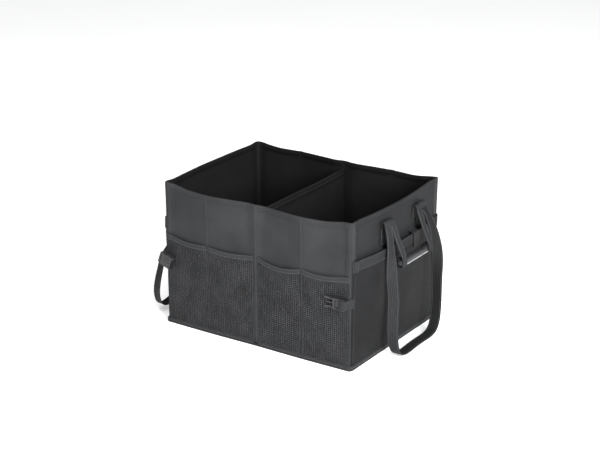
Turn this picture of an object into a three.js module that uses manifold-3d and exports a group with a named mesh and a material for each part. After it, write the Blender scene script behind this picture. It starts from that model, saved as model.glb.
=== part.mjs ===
// Collapsible storage crate: a fabric trunk box with stiff boards sewn into its walls, a centre divider,
// four mesh pockets on the front, a bellows pocket and two carrying handles on each side, and a front clip.
// Millimetres, +Z up, X across the front, -Y towards the front. The origin is at the middle of the floor.
// The front and back walls fold inwards at their quarter lines, so both sides slide in to the divider.

import * as THREE from 'three';
import { mergeVertices } from 'three/addons/utils/BufferGeometryUtils.js';
import Module from 'manifold-3d';

const wasm = await Module();
wasm.setup();

// ---- Driving dimensions ----
const CRATE_WIDTH = 490; // over the outer faces of the side walls
const CRATE_DEPTH = 362; // over the outer faces of the front and back walls at their corners
const CRATE_HEIGHT = 339; // floor to rim
const WALL = 4; // a fabric sleeve with its board
const SKIN = 0.7; // one layer of sleeve fabric
const GAP = 0.3; // clearance between pieces that touch
const SEAM = 7; // sewn margin around a board
const RIM_DROP = 3; // how far the centre strip stops below the rim
const DIVIDER_DROP = 25; // how far the divider stops below the rim
const DIVIDER_WIDTH = 4;
const CENTRE_STRIP = 11; // width of the strip that joins the divider to a long wall

const FLOOR_SKIN = 1.2;
const FLOOR_BOARD = 3;
const FLOOR_LAP = 1.5; // how far the left half of the floor runs on under the divider
const LIP_OUT = 5; // how far the bound lower edge stands out from the walls
const LIP_HEIGHT = 5.5; // its part above the floor's own rim

const MESH_TOP = 218; // height of the mesh pockets' mouths
const MESH_ROOM = 4.8; // room behind the mesh
const MESH_FROM_HINGE = 4; // how far a pocket stays clear of the fold line
const MESH_FROM_QUARTER = 2; // and of the quarter line
const MESH_SKIN = 0.9;
const MESH_BINDING = 12; // height of the folded binding at the mouth
const BINDING_OUT = 0.3;

const POCKET_TOP = 252; // side pocket's mouth
const POCKET_DEPTH = 12;
const POCKET_INSET = 3; // from each corner of the crate
const POCKET_LIFT = 1; // above the bound lower edge
const POCKET_SKIN = 1;
const HEM_HEIGHT = 23;
const HEM = 1.2;
const TAB_WIDTH = 23;
const TAB_CENTRE = 56; // along Y
const TAB_LENGTH = 36;

const WEBBING = 2.4; // thickness of all strap webbing
const STRAP_WIDTH = 25;
const STRAP_SPACING = 153; // between the two sewn ends of a handle
const GRIP_LENGTH = STRAP_SPACING - STRAP_WIDTH - 2; // it hangs between the long loop's legs
const ANCHOR_TOP = 300;
const ANCHOR_LIFT = 5; // sewn end's foot, above the pocket's mouth
const HANDLE_BACK = 14; // how far both handles sit behind the middle of the side wall
const LOOP_BOTTOM = 12;
const LOOP_TWIST = 190; // height at which the strap has turned edge-on
const LOOP_LAP = 6; // how far the flat legs run on below that
const LOOP_WIDTH = 26;
const LOOP_RADIUS = 34;
const LOOP_CLEAR = 20; // loop's inner edge, out from the side pocket
const PULLED_FORWARD = 77; // how far the left loop's front corner is drawn to the front
const PULLED_UP = 92; // and how far its rear corner is drawn up
const SHORT_STRAP_WIDTH = 18;
const STRAPS_APART = 2; // between a long strap and the short one beside it
const SHORT_LEAN = 23;
const GRIP_WIDTH = 16;
const GRIP_HEIGHT = 14;
const GRIP_TOP = 221;
const GRIP_CLEAR = 20; // grip's inner edge, out from the side pocket

const CLIP_HEIGHT = 30;
const CLIP_THICK = 11;
const CLIP_CENTRE = 156; // height of both halves
const CLIP_STRAP = 22; // width of its webbing
const CLIP_STRAP_LAP = 2; // how far the webbing runs on round the corner
const CLIP_CLEAR = 7.5; // back of the clip, out from the front wall
const SOCKET_LENGTH = 37;
const SOCKET_OVERHANG = 11; // past the left corner
const SOCKET_WALL = 2.2;
const SOCKET_MOUTH = 24; // depth of the mouth
const PRONG_LENGTH = 22;
const PLUG_LENGTH = 51; // prongs included
const PLUG_INSET = 7; // from the right corner
const PLUG_SLOT = 3; // width of its two strap slots
const PLUG_SLOTS = [8, 17]; // places of the slots, from its end
const PRONG = 4; // height of a prong
const PRONG_MARGIN = 2; // between the prongs' room and the plug's edge
const PRONG_CLEAR = 1.2; // between a prong and the socket's faces
const GUIDE_SHORTER = 4; // the middle guide than the prongs

// ---- Places worked out from them ----
const outerX = CRATE_WIDTH / 2;
const outerY = CRATE_DEPTH / 2;
const innerX = outerX - WALL;
const innerY = outerY - WALL;
const floorRim = FLOOR_SKIN + GAP + FLOOR_BOARD; // top of the floor's rim and boards
const wallFoot = floorRim + 0.5;
const boardHingeX = DIVIDER_WIDTH / 2 + GAP;
const centreHingeX = boardHingeX + FLOOR_BOARD + 0.7;
const cornerHingeX = innerX - 0.4;
const quarterX = (centreHingeX + cornerHingeX) / 2;
const meshOut = GAP + MESH_ROOM + MESH_SKIN; // mesh face, out from the wall
const pocketFace = outerX + GAP + POCKET_DEPTH;
const hemFace = pocketFace + GAP + HEM;
const tabFace = hemFace + GAP + HEM;
const strapHingeX = tabFace + 1.7; // the bent-over strap ends pass clear of the hem and the tab
const loopBack = pocketFace + LOOP_CLEAR;
const loopLean = loopBack + LOOP_WIDTH / 2 - strapHingeX;

const FABRIC = { color: 0x3d3e41, roughness: 0.92, metalness: 0 };
const LINING = { color: 0x17181a, roughness: 0.95, metalness: 0 };
const BOARD = { color: 0x8f8a80, roughness: 0.85, metalness: 0 };
const MESH = { color: 0x35363a, roughness: 0.8, metalness: 0 };
const TAPE = { color: 0x4c4d50, roughness: 0.85, metalness: 0 };
const STRAP = { color: 0x44464a, roughness: 0.8, metalness: 0 };
const PLASTIC = { color: 0x141517, roughness: 0.45, metalness: 0 };

const crate = new THREE.Group();

// ---- Shape helpers ----

/** A box between two opposite corners, given in any order. */
function block([x0, y0, z0], [x1, y1, z1]) {
  const shape = new THREE.BoxGeometry(Math.abs(x1 - x0), Math.abs(y1 - y0), Math.abs(z1 - z0));
  return shape.translate((x0 + x1) / 2, (y0 + y1) / 2, (z0 + z1) / 2);
}

/** A three.js geometry as a manifold solid. */
function toSolid(geometry) {
  const bare = new THREE.BufferGeometry();
  bare.setAttribute('position', geometry.getAttribute('position').clone());
  if (geometry.index) {
    bare.setIndex(geometry.index.clone());
  }
  const merged = mergeVertices(bare, 1e-4);
  return new wasm.Manifold(new wasm.Mesh({
    numProp: 3,
    vertProperties: new Float32Array(merged.getAttribute('position').array),
    triVerts: new Uint32Array(merged.index.array),
  }));
}

/** A manifold solid as a flat-shaded three.js geometry. */
function toGeometry(solid) {
  const mesh = solid.getMesh();
  const geometry = new THREE.BufferGeometry();
  geometry.setAttribute('position', new THREE.BufferAttribute(new Float32Array(mesh.vertProperties), 3));
  geometry.setIndex(new THREE.BufferAttribute(new Uint32Array(mesh.triVerts), 1));
  return geometry;
}

/** All the shapes joined into one. */
function joined(...shapes) {
  return toGeometry(shapes.map(toSolid).reduce((whole, next) => whole.add(next)));
}

/** A shape with the others cut out of it. */
function cut(shape, ...tools) {
  return toGeometry(tools.map(toSolid).reduce((whole, tool) => whole.subtract(tool), toSolid(shape)));
}

/** An outline in the YZ plane, extruded along X between two places. */
function slabYZ(outline, x0, x1) {
  const slab = new THREE.ExtrudeGeometry(outline, { depth: Math.abs(x1 - x0), bevelEnabled: false });
  return slab.rotateX(Math.PI / 2).rotateZ(Math.PI / 2).translate(Math.min(x0, x1), 0, 0);
}

/** Adds one named sub-part to the crate. */
function add(name, geometry, finish) {
  const mesh = new THREE.Mesh(geometry, new THREE.MeshStandardMaterial({ ...finish, flatShading: true }));
  mesh.name = name;
  crate.add(mesh);
}

/** A fabric sleeve along X, open below, and the stiff board inside it. */
function sleeveAlongX(name, x0, x1, y0, y1) {
  const [left, right] = [Math.min(x0, x1), Math.max(x0, x1)];
  const [front, back] = [Math.min(y0, y1), Math.max(y0, y1)];
  const hollow = block(
    [left + SEAM, front + SKIN, wallFoot - 1],
    [right - SEAM, back - SKIN, CRATE_HEIGHT - SEAM],
  );
  add(`${name}_cover`, cut(block([left, front, wallFoot], [right, back, CRATE_HEIGHT]), hollow), FABRIC);
  add(`${name}_board`, block(
    [left + SEAM + GAP, front + SKIN + GAP, wallFoot + 1],
    [right - SEAM - GAP, back - SKIN - GAP, CRATE_HEIGHT - SEAM - GAP],
  ), BOARD);
}

// ---- Centre: divider and floor ----

/** The divider's sleeve with the strips that join it to both long walls, and its board. */
function addDivider() {
  const halfWidth = DIVIDER_WIDTH / 2;
  const dividerTop = CRATE_HEIGHT - DIVIDER_DROP;
  const stripTop = CRATE_HEIGHT - RIM_DROP;
  const web = block([-halfWidth, -innerY - 1, wallFoot], [halfWidth, innerY + 1, dividerTop]);
  const strips = [-1, 1].map((end) => block(
    [-CENTRE_STRIP / 2, end * innerY, wallFoot],
    [CENTRE_STRIP / 2, end * outerY, stripTop],
  ));
  const hollow = block(
    [-halfWidth + SKIN, -innerY + SEAM, wallFoot - 1],
    [halfWidth - SKIN, innerY - SEAM, dividerTop - SEAM],
  );
  add('divider_cover', cut(joined(web, ...strips), hollow), LINING);
  add('divider_board', block(
    [-halfWidth + SKIN + GAP, -innerY + SEAM + GAP, wallFoot + 1],
    [halfWidth - SKIN - GAP, innerY - SEAM - GAP, dividerTop - SEAM - GAP],
  ), BOARD);
}

/** Half of the fabric floor with its raised rim, and the stiff board that lies on it. */
function addFloorHalf(side, sign) {
  const lipX = outerX + LIP_OUT;
  const lipY = outerY + LIP_OUT;
  const near = sign < 0 ? FLOOR_LAP : FLOOR_LAP + GAP;
  const skin = block([near, -lipY, 0], [sign * lipX, lipY, floorRim]);
  const well = block([near - sign, -innerY, FLOOR_SKIN], [sign * innerX, innerY, floorRim + 1]);
  add(`floor_skin_${side}`, cut(skin, well), TAPE);
  add(`floor_board_${side}`, block(
    [sign * (boardHingeX + GAP), -innerY + 0.5, FLOOR_SKIN + GAP],
    [sign * (innerX - 0.5), innerY - 0.5, floorRim],
  ), LINING);
}

// ---- Long walls: two boards on each side of the divider, front and back ----

/** The bound lower edge along one panel of a long wall. */
function lipAlongX(name, x0, x1, end) {
  const [y0, y1] = [end * (outerY + GAP), end * (outerY + LIP_OUT)];
  add(name, block([x0, y0, wallFoot], [x1, y1, wallFoot + LIP_HEIGHT]), TAPE);
}

/** A mesh pocket, open at the top and against the wall, with a binding round its mouth. */
function meshPocket(name, x0, x1) {
  const foot = wallFoot + LIP_HEIGHT + GAP;
  const back = -outerY - GAP;
  const face = -outerY - meshOut;
  const [left, right] = [Math.min(x0, x1), Math.max(x0, x1)];
  const bag = block([left, back, foot], [right, face, MESH_TOP]);
  const room = block(
    [left + MESH_SKIN, back + 1, foot + MESH_SKIN],
    [right - MESH_SKIN, face + MESH_SKIN, MESH_TOP + 1],
  );
  const binding = block(
    [left, face + MESH_SKIN / 2, MESH_TOP - MESH_BINDING],
    [right, face - BINDING_OUT, MESH_TOP],
  );
  add(name, joined(cut(bag, room), binding), MESH);
}

/** The inner and outer panels of the front or back wall on one side of the divider. */
function addLongWall(place, end, side, sign) {
  const inner = [sign * (centreHingeX + GAP), sign * (quarterX - GAP)];
  const outer = [sign * (quarterX + GAP), sign * (cornerHingeX - GAP)];
  for (const [part, [x0, x1]] of [['inner', inner], ['outer', outer]]) {
    const name = `${place}_${part}_${side}`;
    sleeveAlongX(name, x0, x1, end * innerY, end * outerY);
    lipAlongX(`${name}_lip`, x0, x1, end);
    if (place === 'front') {
      const hingeEnd = sign * MESH_FROM_HINGE;
      const quarterEnd = sign * MESH_FROM_QUARTER;
      const pocketEnds = part === 'inner' ? [x0 + hingeEnd, x1 - quarterEnd] : [x0 + quarterEnd, x1 - hingeEnd];
      meshPocket(`${name}_pocket`, ...pocketEnds);
    }
  }
}

// ---- Side walls ----

/** The side wall's sleeve and board, and its bound lower edge. */
function addSideWall(side, sign) {
  const name = `side_${side}`;
  const hollow = block(
    [sign * (innerX + SKIN), -outerY + SEAM, wallFoot - 1],
    [sign * (outerX - SKIN), outerY - SEAM, CRATE_HEIGHT - SEAM],
  );
  const sleeve = block([sign * innerX, -outerY, wallFoot], [sign * outerX, outerY, CRATE_HEIGHT]);
  add(`${name}_cover`, cut(sleeve, hollow), FABRIC);
  add(`${name}_board`, block(
    [sign * (innerX + SKIN + GAP), -outerY + SEAM + GAP, wallFoot + 1],
    [sign * (outerX - SKIN - GAP), outerY - SEAM - GAP, CRATE_HEIGHT - SEAM - GAP],
  ), BOARD);
  add(`${name}_lip`, block(
    [sign * (outerX + GAP), -outerY, wallFoot],
    [sign * (outerX + LIP_OUT), outerY, wallFoot + LIP_HEIGHT],
  ), TAPE);
}

/** The bellows pocket, its hem and the tab that closes it. */
function addSidePocket(side, sign) {
  const back = outerX + GAP;
  const foot = wallFoot + LIP_HEIGHT + POCKET_LIFT;
  const edge = outerY - POCKET_INSET;
  const bag = block([sign * back, -edge, foot], [sign * pocketFace, edge, POCKET_TOP]);
  const room = block(
    [sign * (back - 1), -edge + POCKET_SKIN, foot + POCKET_SKIN],
    [sign * (pocketFace - POCKET_SKIN), edge - POCKET_SKIN, POCKET_TOP + 1],
  );
  add(`side_${side}_pocket`, cut(bag, room), FABRIC);

  add(`side_${side}_pocket_hem`, block(
    [sign * (hemFace - HEM), -edge, POCKET_TOP - HEM_HEIGHT],
    [sign * hemFace, edge, POCKET_TOP],
  ), TAPE);

  const tabTop = POCKET_TOP + GAP + HEM;
  const hangs = block(
    [sign * (tabFace - HEM), TAB_CENTRE - TAB_WIDTH / 2, tabTop - TAB_LENGTH],
    [sign * tabFace, TAB_CENTRE + TAB_WIDTH / 2, tabTop],
  );
  const bridge = block(
    [sign * back, TAB_CENTRE - TAB_WIDTH / 2, tabTop - HEM],
    [sign * (tabFace - HEM / 2), TAB_CENTRE + TAB_WIDTH / 2, tabTop],
  );
  add(`side_${side}_pocket_tab`, joined(hangs, bridge), TAPE);
}

// ---- Handles ----

/** A strap end sewn to the side wall above the pocket and bent over outwards. */
function addAnchor(side, sign, place, end) {
  const back = outerX + GAP;
  const middle = HANDLE_BACK + end * STRAP_SPACING / 2;
  const strapEdges = [middle - STRAP_WIDTH / 2, middle + STRAP_WIDTH / 2];
  const shortEdge = HANDLE_BACK + end * shortStrapInner();
  const sewn = block(
    [sign * back, strapEdges[0], POCKET_TOP + ANCHOR_LIFT],
    [sign * (back + WEBBING), strapEdges[1], ANCHOR_TOP],
  );
  const farEdge = middle + end * STRAP_WIDTH / 2;
  const bend = block(
    [sign * back, shortEdge, ANCHOR_TOP - WEBBING],
    [sign * tabFace, farEdge, ANCHOR_TOP],
  );
  add(`strap_anchor_${place}_${side}`, joined(sewn, bend), STRAP);
}

/** Distance from the handles' middle to the inner edge of a short handle's strap. */
function shortStrapInner() {
  return STRAP_SPACING / 2 - STRAP_WIDTH / 2 - STRAPS_APART - SHORT_STRAP_WIDTH;
}

/** A ribbon's edge-on outline in the YZ plane, along a line whose corners are rounded. */
function ribbon(corners, radius, thickness) {
  const points = corners.map(([y, z]) => new THREE.Vector2(y, z));
  const path = new THREE.CurvePath();
  let from = points[0];
  for (let i = 1; i < points.length - 1; i += 1) {
    const [before, corner, after] = [points[i - 1], points[i], points[i + 1]];
    const entry = corner.clone().lerp(before, radius / corner.distanceTo(before));
    const exit = corner.clone().lerp(after, radius / corner.distanceTo(after));
    path.add(new THREE.LineCurve(from, entry));
    path.add(new THREE.QuadraticBezierCurve(entry, corner, exit));
    from = exit;
  }
  path.add(new THREE.LineCurve(from, points.at(-1)));
  const line = path.curves.flatMap((curve, index) => {
    const steps = curve instanceof THREE.LineCurve ? 1 : 6;
    return curve.getPoints(steps).slice(index === 0 ? 0 : 1);
  });
  const sides = [-thickness / 2, thickness / 2].map((offset) => line.map((point, index) => {
    const along = line[Math.min(index + 1, line.length - 1)].clone().sub(line[Math.max(index - 1, 0)]);
    along.normalize();
    return new THREE.Vector2(point.x - along.y * offset, point.y + along.x * offset);
  }));
  return new THREE.Shape([...sides[0], ...sides[1].reverse()]);
}

/** A flat strap leg that hangs from the handle's hinge, leaning out and to the front or back. */
function strapLeg(sign, lean, bottom, y0, y1, drift = 0) {
  const half = WEBBING / 2;
  const leg = block([sign * (strapHingeX - half), y0, bottom], [sign * (strapHingeX + half), y1, ANCHOR_TOP]);
  const places = leg.getAttribute('position');
  for (let i = 0; i < places.count; i += 1) {
    const share = (ANCHOR_TOP - places.getZ(i)) / (ANCHOR_TOP - bottom);
    places.setX(i, places.getX(i) + sign * lean * share);
    places.setY(i, places.getY(i) + drift * share);
  }
  return leg;
}

/** The long carrying loop: two flat legs that turn edge-on into a loop that hangs near the floor. */
function addLongHandle(side, sign, forward, up) {
  const [front, rear] = [HANDLE_BACK - STRAP_SPACING / 2, HANDLE_BACK + STRAP_SPACING / 2];
  const drop = ANCHOR_TOP - LOOP_BOTTOM;
  const drift = (height) => -forward * (ANCHOR_TOP - height) / drop;
  const frontCorner = [front - forward, LOOP_BOTTOM + WEBBING / 2];
  const rearCorner = [rear, LOOP_BOTTOM + WEBBING / 2 + up];
  const frontTop = [front + drift(LOOP_TWIST), LOOP_TWIST];
  const outline = ribbon([frontTop, frontCorner, rearCorner, [rear, LOOP_TWIST]], LOOP_RADIUS, WEBBING);
  const loop = slabYZ(outline, sign * loopBack, sign * (loopBack + LOOP_WIDTH));
  const bottom = LOOP_TWIST - LOOP_LAP;
  const legs = [[front, drift(bottom)], [rear, 0]].map(([y, shift]) => strapLeg(
    sign,
    loopLean,
    bottom,
    y - STRAP_WIDTH / 2,
    y + STRAP_WIDTH / 2,
    shift,
  ));
  add(`long_strap_${side}`, joined(loop, ...legs), STRAP);
}

/** The short handle: two narrow legs, the strap's level run, and the stiff grip under it. */
function addShortHandle(side, sign) {
  const inner = shortStrapInner();
  const outer = inner + SHORT_STRAP_WIDTH;
  const runTop = GRIP_TOP + GAP + WEBBING;
  const legs = [-1, 1].map((end) => strapLeg(
    sign,
    SHORT_LEAN,
    runTop - 1,
    HANDLE_BACK + end * inner,
    HANDLE_BACK + end * outer,
  ));
  const gripBack = pocketFace + GRIP_CLEAR;
  const run = block(
    [sign * gripBack, HANDLE_BACK - outer, GRIP_TOP + GAP],
    [sign * (gripBack + GRIP_WIDTH), HANDLE_BACK + outer, runTop],
  );
  add(`short_strap_${side}`, joined(run, ...legs), STRAP);
  add(`grip_${side}`, block(
    [sign * gripBack, HANDLE_BACK - GRIP_LENGTH / 2, GRIP_TOP - GRIP_HEIGHT],
    [sign * (gripBack + GRIP_WIDTH), HANDLE_BACK + GRIP_LENGTH / 2, GRIP_TOP],
  ), PLASTIC);
}

// ---- Front clip: a socket at the left corner and a plug at the right ----

const clipBack = -outerY - CLIP_CLEAR;
const clipFront = clipBack - CLIP_THICK;
const clipMiddle = (clipBack + clipFront) / 2;
const strapLow = CLIP_CENTRE - CLIP_STRAP / 2;
const strapHigh = CLIP_CENTRE + CLIP_STRAP / 2;

/** The clip's socket, with a mouth that takes the prongs, and the webbing that holds it. */
function addSocket() {
  const left = -outerX - SOCKET_OVERHANG;
  const right = left + SOCKET_LENGTH;
  const half = CLIP_HEIGHT / 2;
  const body = block([left, clipBack, CLIP_CENTRE - half], [right, clipFront, CLIP_CENTRE + half]);
  const mouth = block(
    [right - SOCKET_MOUTH, clipBack - SOCKET_WALL, CLIP_CENTRE - half + SOCKET_WALL],
    [right + 1, clipFront + SOCKET_WALL, CLIP_CENTRE + half - SOCKET_WALL],
  );
  add('clip_socket', cut(body, mouth), PLASTIC);
  add('clip_webbing_left', block(
    [-outerX - GAP, clipBack + GAP, strapLow],
    [-outerX - GAP - WEBBING, -outerY + CLIP_STRAP_LAP, strapHigh],
  ), STRAP);
}

/** The clip's plug with two outer prongs and a middle guide, and the webbing that holds it. */
function addPlug() {
  const right = outerX - PLUG_INSET;
  const left = right - PLUG_LENGTH;
  const shoulder = left + PRONG_LENGTH;
  const reach = CLIP_HEIGHT / 2 - SOCKET_WALL - PRONG_MARGIN;
  const thin = CLIP_THICK / 2 - SOCKET_WALL - PRONG_CLEAR;
  const body = block(
    [shoulder, clipBack, CLIP_CENTRE - reach - PRONG_MARGIN],
    [right, clipFront, CLIP_CENTRE + reach + PRONG_MARGIN],
  );
  const slots = PLUG_SLOTS.map((from) => block(
    [right - from - PLUG_SLOT, clipBack + 1, CLIP_CENTRE - reach],
    [right - from, clipFront - 1, CLIP_CENTRE + reach],
  ));
  const outermost = reach - PRONG / 2;
  const prongs = [[-outermost, 0], [0, GUIDE_SHORTER], [outermost, 0]].map(([height, shorter]) => block(
    [left + shorter, clipMiddle - thin, CLIP_CENTRE + height - PRONG / 2],
    [shoulder + 1, clipMiddle + thin, CLIP_CENTRE + height + PRONG / 2],
  ));
  add('clip_plug', joined(cut(body, ...slots), ...prongs), PLASTIC);

  const outside = outerX + GAP;
  const across = block(
    [right + GAP, clipMiddle - WEBBING / 2, strapLow],
    [outside + WEBBING, clipMiddle + WEBBING / 2, strapHigh],
  );
  const turned = block(
    [outside, clipMiddle - WEBBING / 2, strapLow],
    [outside + WEBBING, -outerY + CLIP_STRAP_LAP, strapHigh],
  );
  add('clip_webbing_right', joined(across, turned), STRAP);
}

// ---- The whole crate ----

addDivider();
for (const [side, sign] of [['left', -1], ['right', 1]]) {
  addFloorHalf(side, sign);
  addLongWall('front', -1, side, sign);
  addLongWall('back', 1, side, sign);
  addSideWall(side, sign);
  addSidePocket(side, sign);
  addAnchor(side, sign, 'front', -1);
  addAnchor(side, sign, 'back', 1);
  const pulled = side === 'left';
  addLongHandle(side, sign, pulled ? PULLED_FORWARD : 0, pulled ? PULLED_UP : 0);
  addShortHandle(side, sign);
}
addSocket();
addPlug();

export default crate;
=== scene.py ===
"""Collapsible storage crate: the soft, sewn model of the box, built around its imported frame.

The crate is a charcoal fabric box with stiff boards sewn into its walls, a centre divider,
mesh pockets on the front, a bellows pocket and two handles on each side, and a front clip.
Sizes in the classes are millimetres; every point is turned into metres by CrateShape.warp
or by metres(). X runs across the front, -Y is the front, and Z is up.
"""

from __future__ import annotations

import logging
import math
from dataclasses import dataclass, field
from enum import Enum
from typing import Callable, Sequence

import bmesh
import bpy
from mathutils import Matrix, Vector, noise

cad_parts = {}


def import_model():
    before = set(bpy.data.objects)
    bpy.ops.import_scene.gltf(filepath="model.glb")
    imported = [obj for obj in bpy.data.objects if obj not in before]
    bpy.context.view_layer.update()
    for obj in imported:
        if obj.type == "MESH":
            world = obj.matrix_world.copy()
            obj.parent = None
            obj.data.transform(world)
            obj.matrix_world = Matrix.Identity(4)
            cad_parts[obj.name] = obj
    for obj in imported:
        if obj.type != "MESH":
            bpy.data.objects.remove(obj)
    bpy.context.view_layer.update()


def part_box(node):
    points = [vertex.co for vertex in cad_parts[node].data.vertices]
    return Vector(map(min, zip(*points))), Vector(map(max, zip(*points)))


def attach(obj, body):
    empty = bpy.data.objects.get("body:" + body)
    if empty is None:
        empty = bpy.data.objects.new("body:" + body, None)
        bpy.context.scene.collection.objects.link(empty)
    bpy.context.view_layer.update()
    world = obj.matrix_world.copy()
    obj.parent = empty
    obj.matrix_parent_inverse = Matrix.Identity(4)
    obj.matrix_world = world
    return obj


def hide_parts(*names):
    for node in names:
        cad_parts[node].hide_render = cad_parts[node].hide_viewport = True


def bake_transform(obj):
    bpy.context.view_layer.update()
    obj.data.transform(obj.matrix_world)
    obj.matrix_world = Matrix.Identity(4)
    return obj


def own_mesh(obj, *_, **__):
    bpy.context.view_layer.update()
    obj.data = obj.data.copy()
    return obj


LOG = logging.getLogger("crate")
MM = 0.001

Spot = Callable[[float, float, float], Vector]


class Side(Enum):
    """The two ends of the crate, seen from the front."""

    LEFT = "left"
    RIGHT = "right"

    @property
    def sign(self) -> int:
        """-1 on the left and 1 on the right."""
        return -1 if self is Side.LEFT else 1


class Place(Enum):
    """The two long walls."""

    FRONT = "front"
    BACK = "back"

    @property
    def sign(self) -> int:
        """-1 at the front and 1 at the back."""
        return -1 if self is Place.FRONT else 1


class Part(Enum):
    """The two panels of half a long wall."""

    INNER = "inner"
    OUTER = "outer"


class Slot(Enum):
    """The record's material slots."""

    WOVEN = "woven_fabric"
    LINING = "lining"
    MESH = "mesh"
    BINDING = "binding"
    WEBBING = "webbing"
    PLASTIC = "plastic"
    STIFFENER = "stiffener"


# ---- Small sums ----


def metres(x: float, y: float, z: float) -> Vector:
    """A point given in millimetres, in metres."""
    return Vector((x, y, z)) * MM


def smooth(value: float) -> float:
    """Eases from 0 to 1 as value goes from 0 to 1, and stays there outside."""
    held = min(max(value, 0.0), 1.0)
    return held * held * (3.0 - 2.0 * held)


def between(low: float, high: float, share: float) -> float:
    """The number at a share of the way from low to high."""
    return low + (high - low) * share


def steps(low: float, high: float, pace: float) -> list[float]:
    """Even steps from low to high.

    Args:
        low: First value.
        high: Last value.
        pace: Largest step.

    Returns:
        The values, both ends among them.
    """
    count = max(1, math.ceil(abs(high - low) / pace))
    return [between(low, high, i / count) for i in range(count + 1)]


def through(points: Sequence[Sequence[float]], fine: int) -> list[list[float]]:
    """A smooth line through the given rows of numbers.

    Args:
        points: Rows of numbers that the line passes through.
        fine: Steps between two rows.

    Returns:
        The rows of the finer line.
    """
    rows = [list(points[0]), *[list(p) for p in points], list(points[-1])]
    line = []
    for i in range(1, len(rows) - 2):
        for step in range(fine):
            t = step / fine
            weights = (
                ((-t + 2.0) * t - 1.0) * t / 2.0,
                ((3.0 * t - 5.0) * t * t + 2.0) / 2.0,
                ((-3.0 * t + 4.0) * t + 1.0) * t / 2.0,
                (t - 1.0) * t * t / 2.0,
            )
            line.append([
                sum(w * rows[i - 1 + k][n] for k, w in enumerate(weights))
                for n in range(len(rows[0]))
            ])
    line.append(rows[-1])
    return line


@dataclass(frozen=True)
class Room:
    """The box that a CAD node fills at rest, in millimetres."""

    low: Vector
    high: Vector

    @classmethod
    def of(cls, node: str) -> "Room":
        """The box of one CAD node."""
        low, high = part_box(node)
        return cls(Vector(low) / MM, Vector(high) / MM)

    def reach(self, axis: int) -> tuple[float, float]:
        """The nearest and farthest distance from the middle along an axis."""
        ends = sorted((abs(self.low[axis]), abs(self.high[axis])))
        return ends[0], ends[1]


# ---- The crate's shape ----


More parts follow.
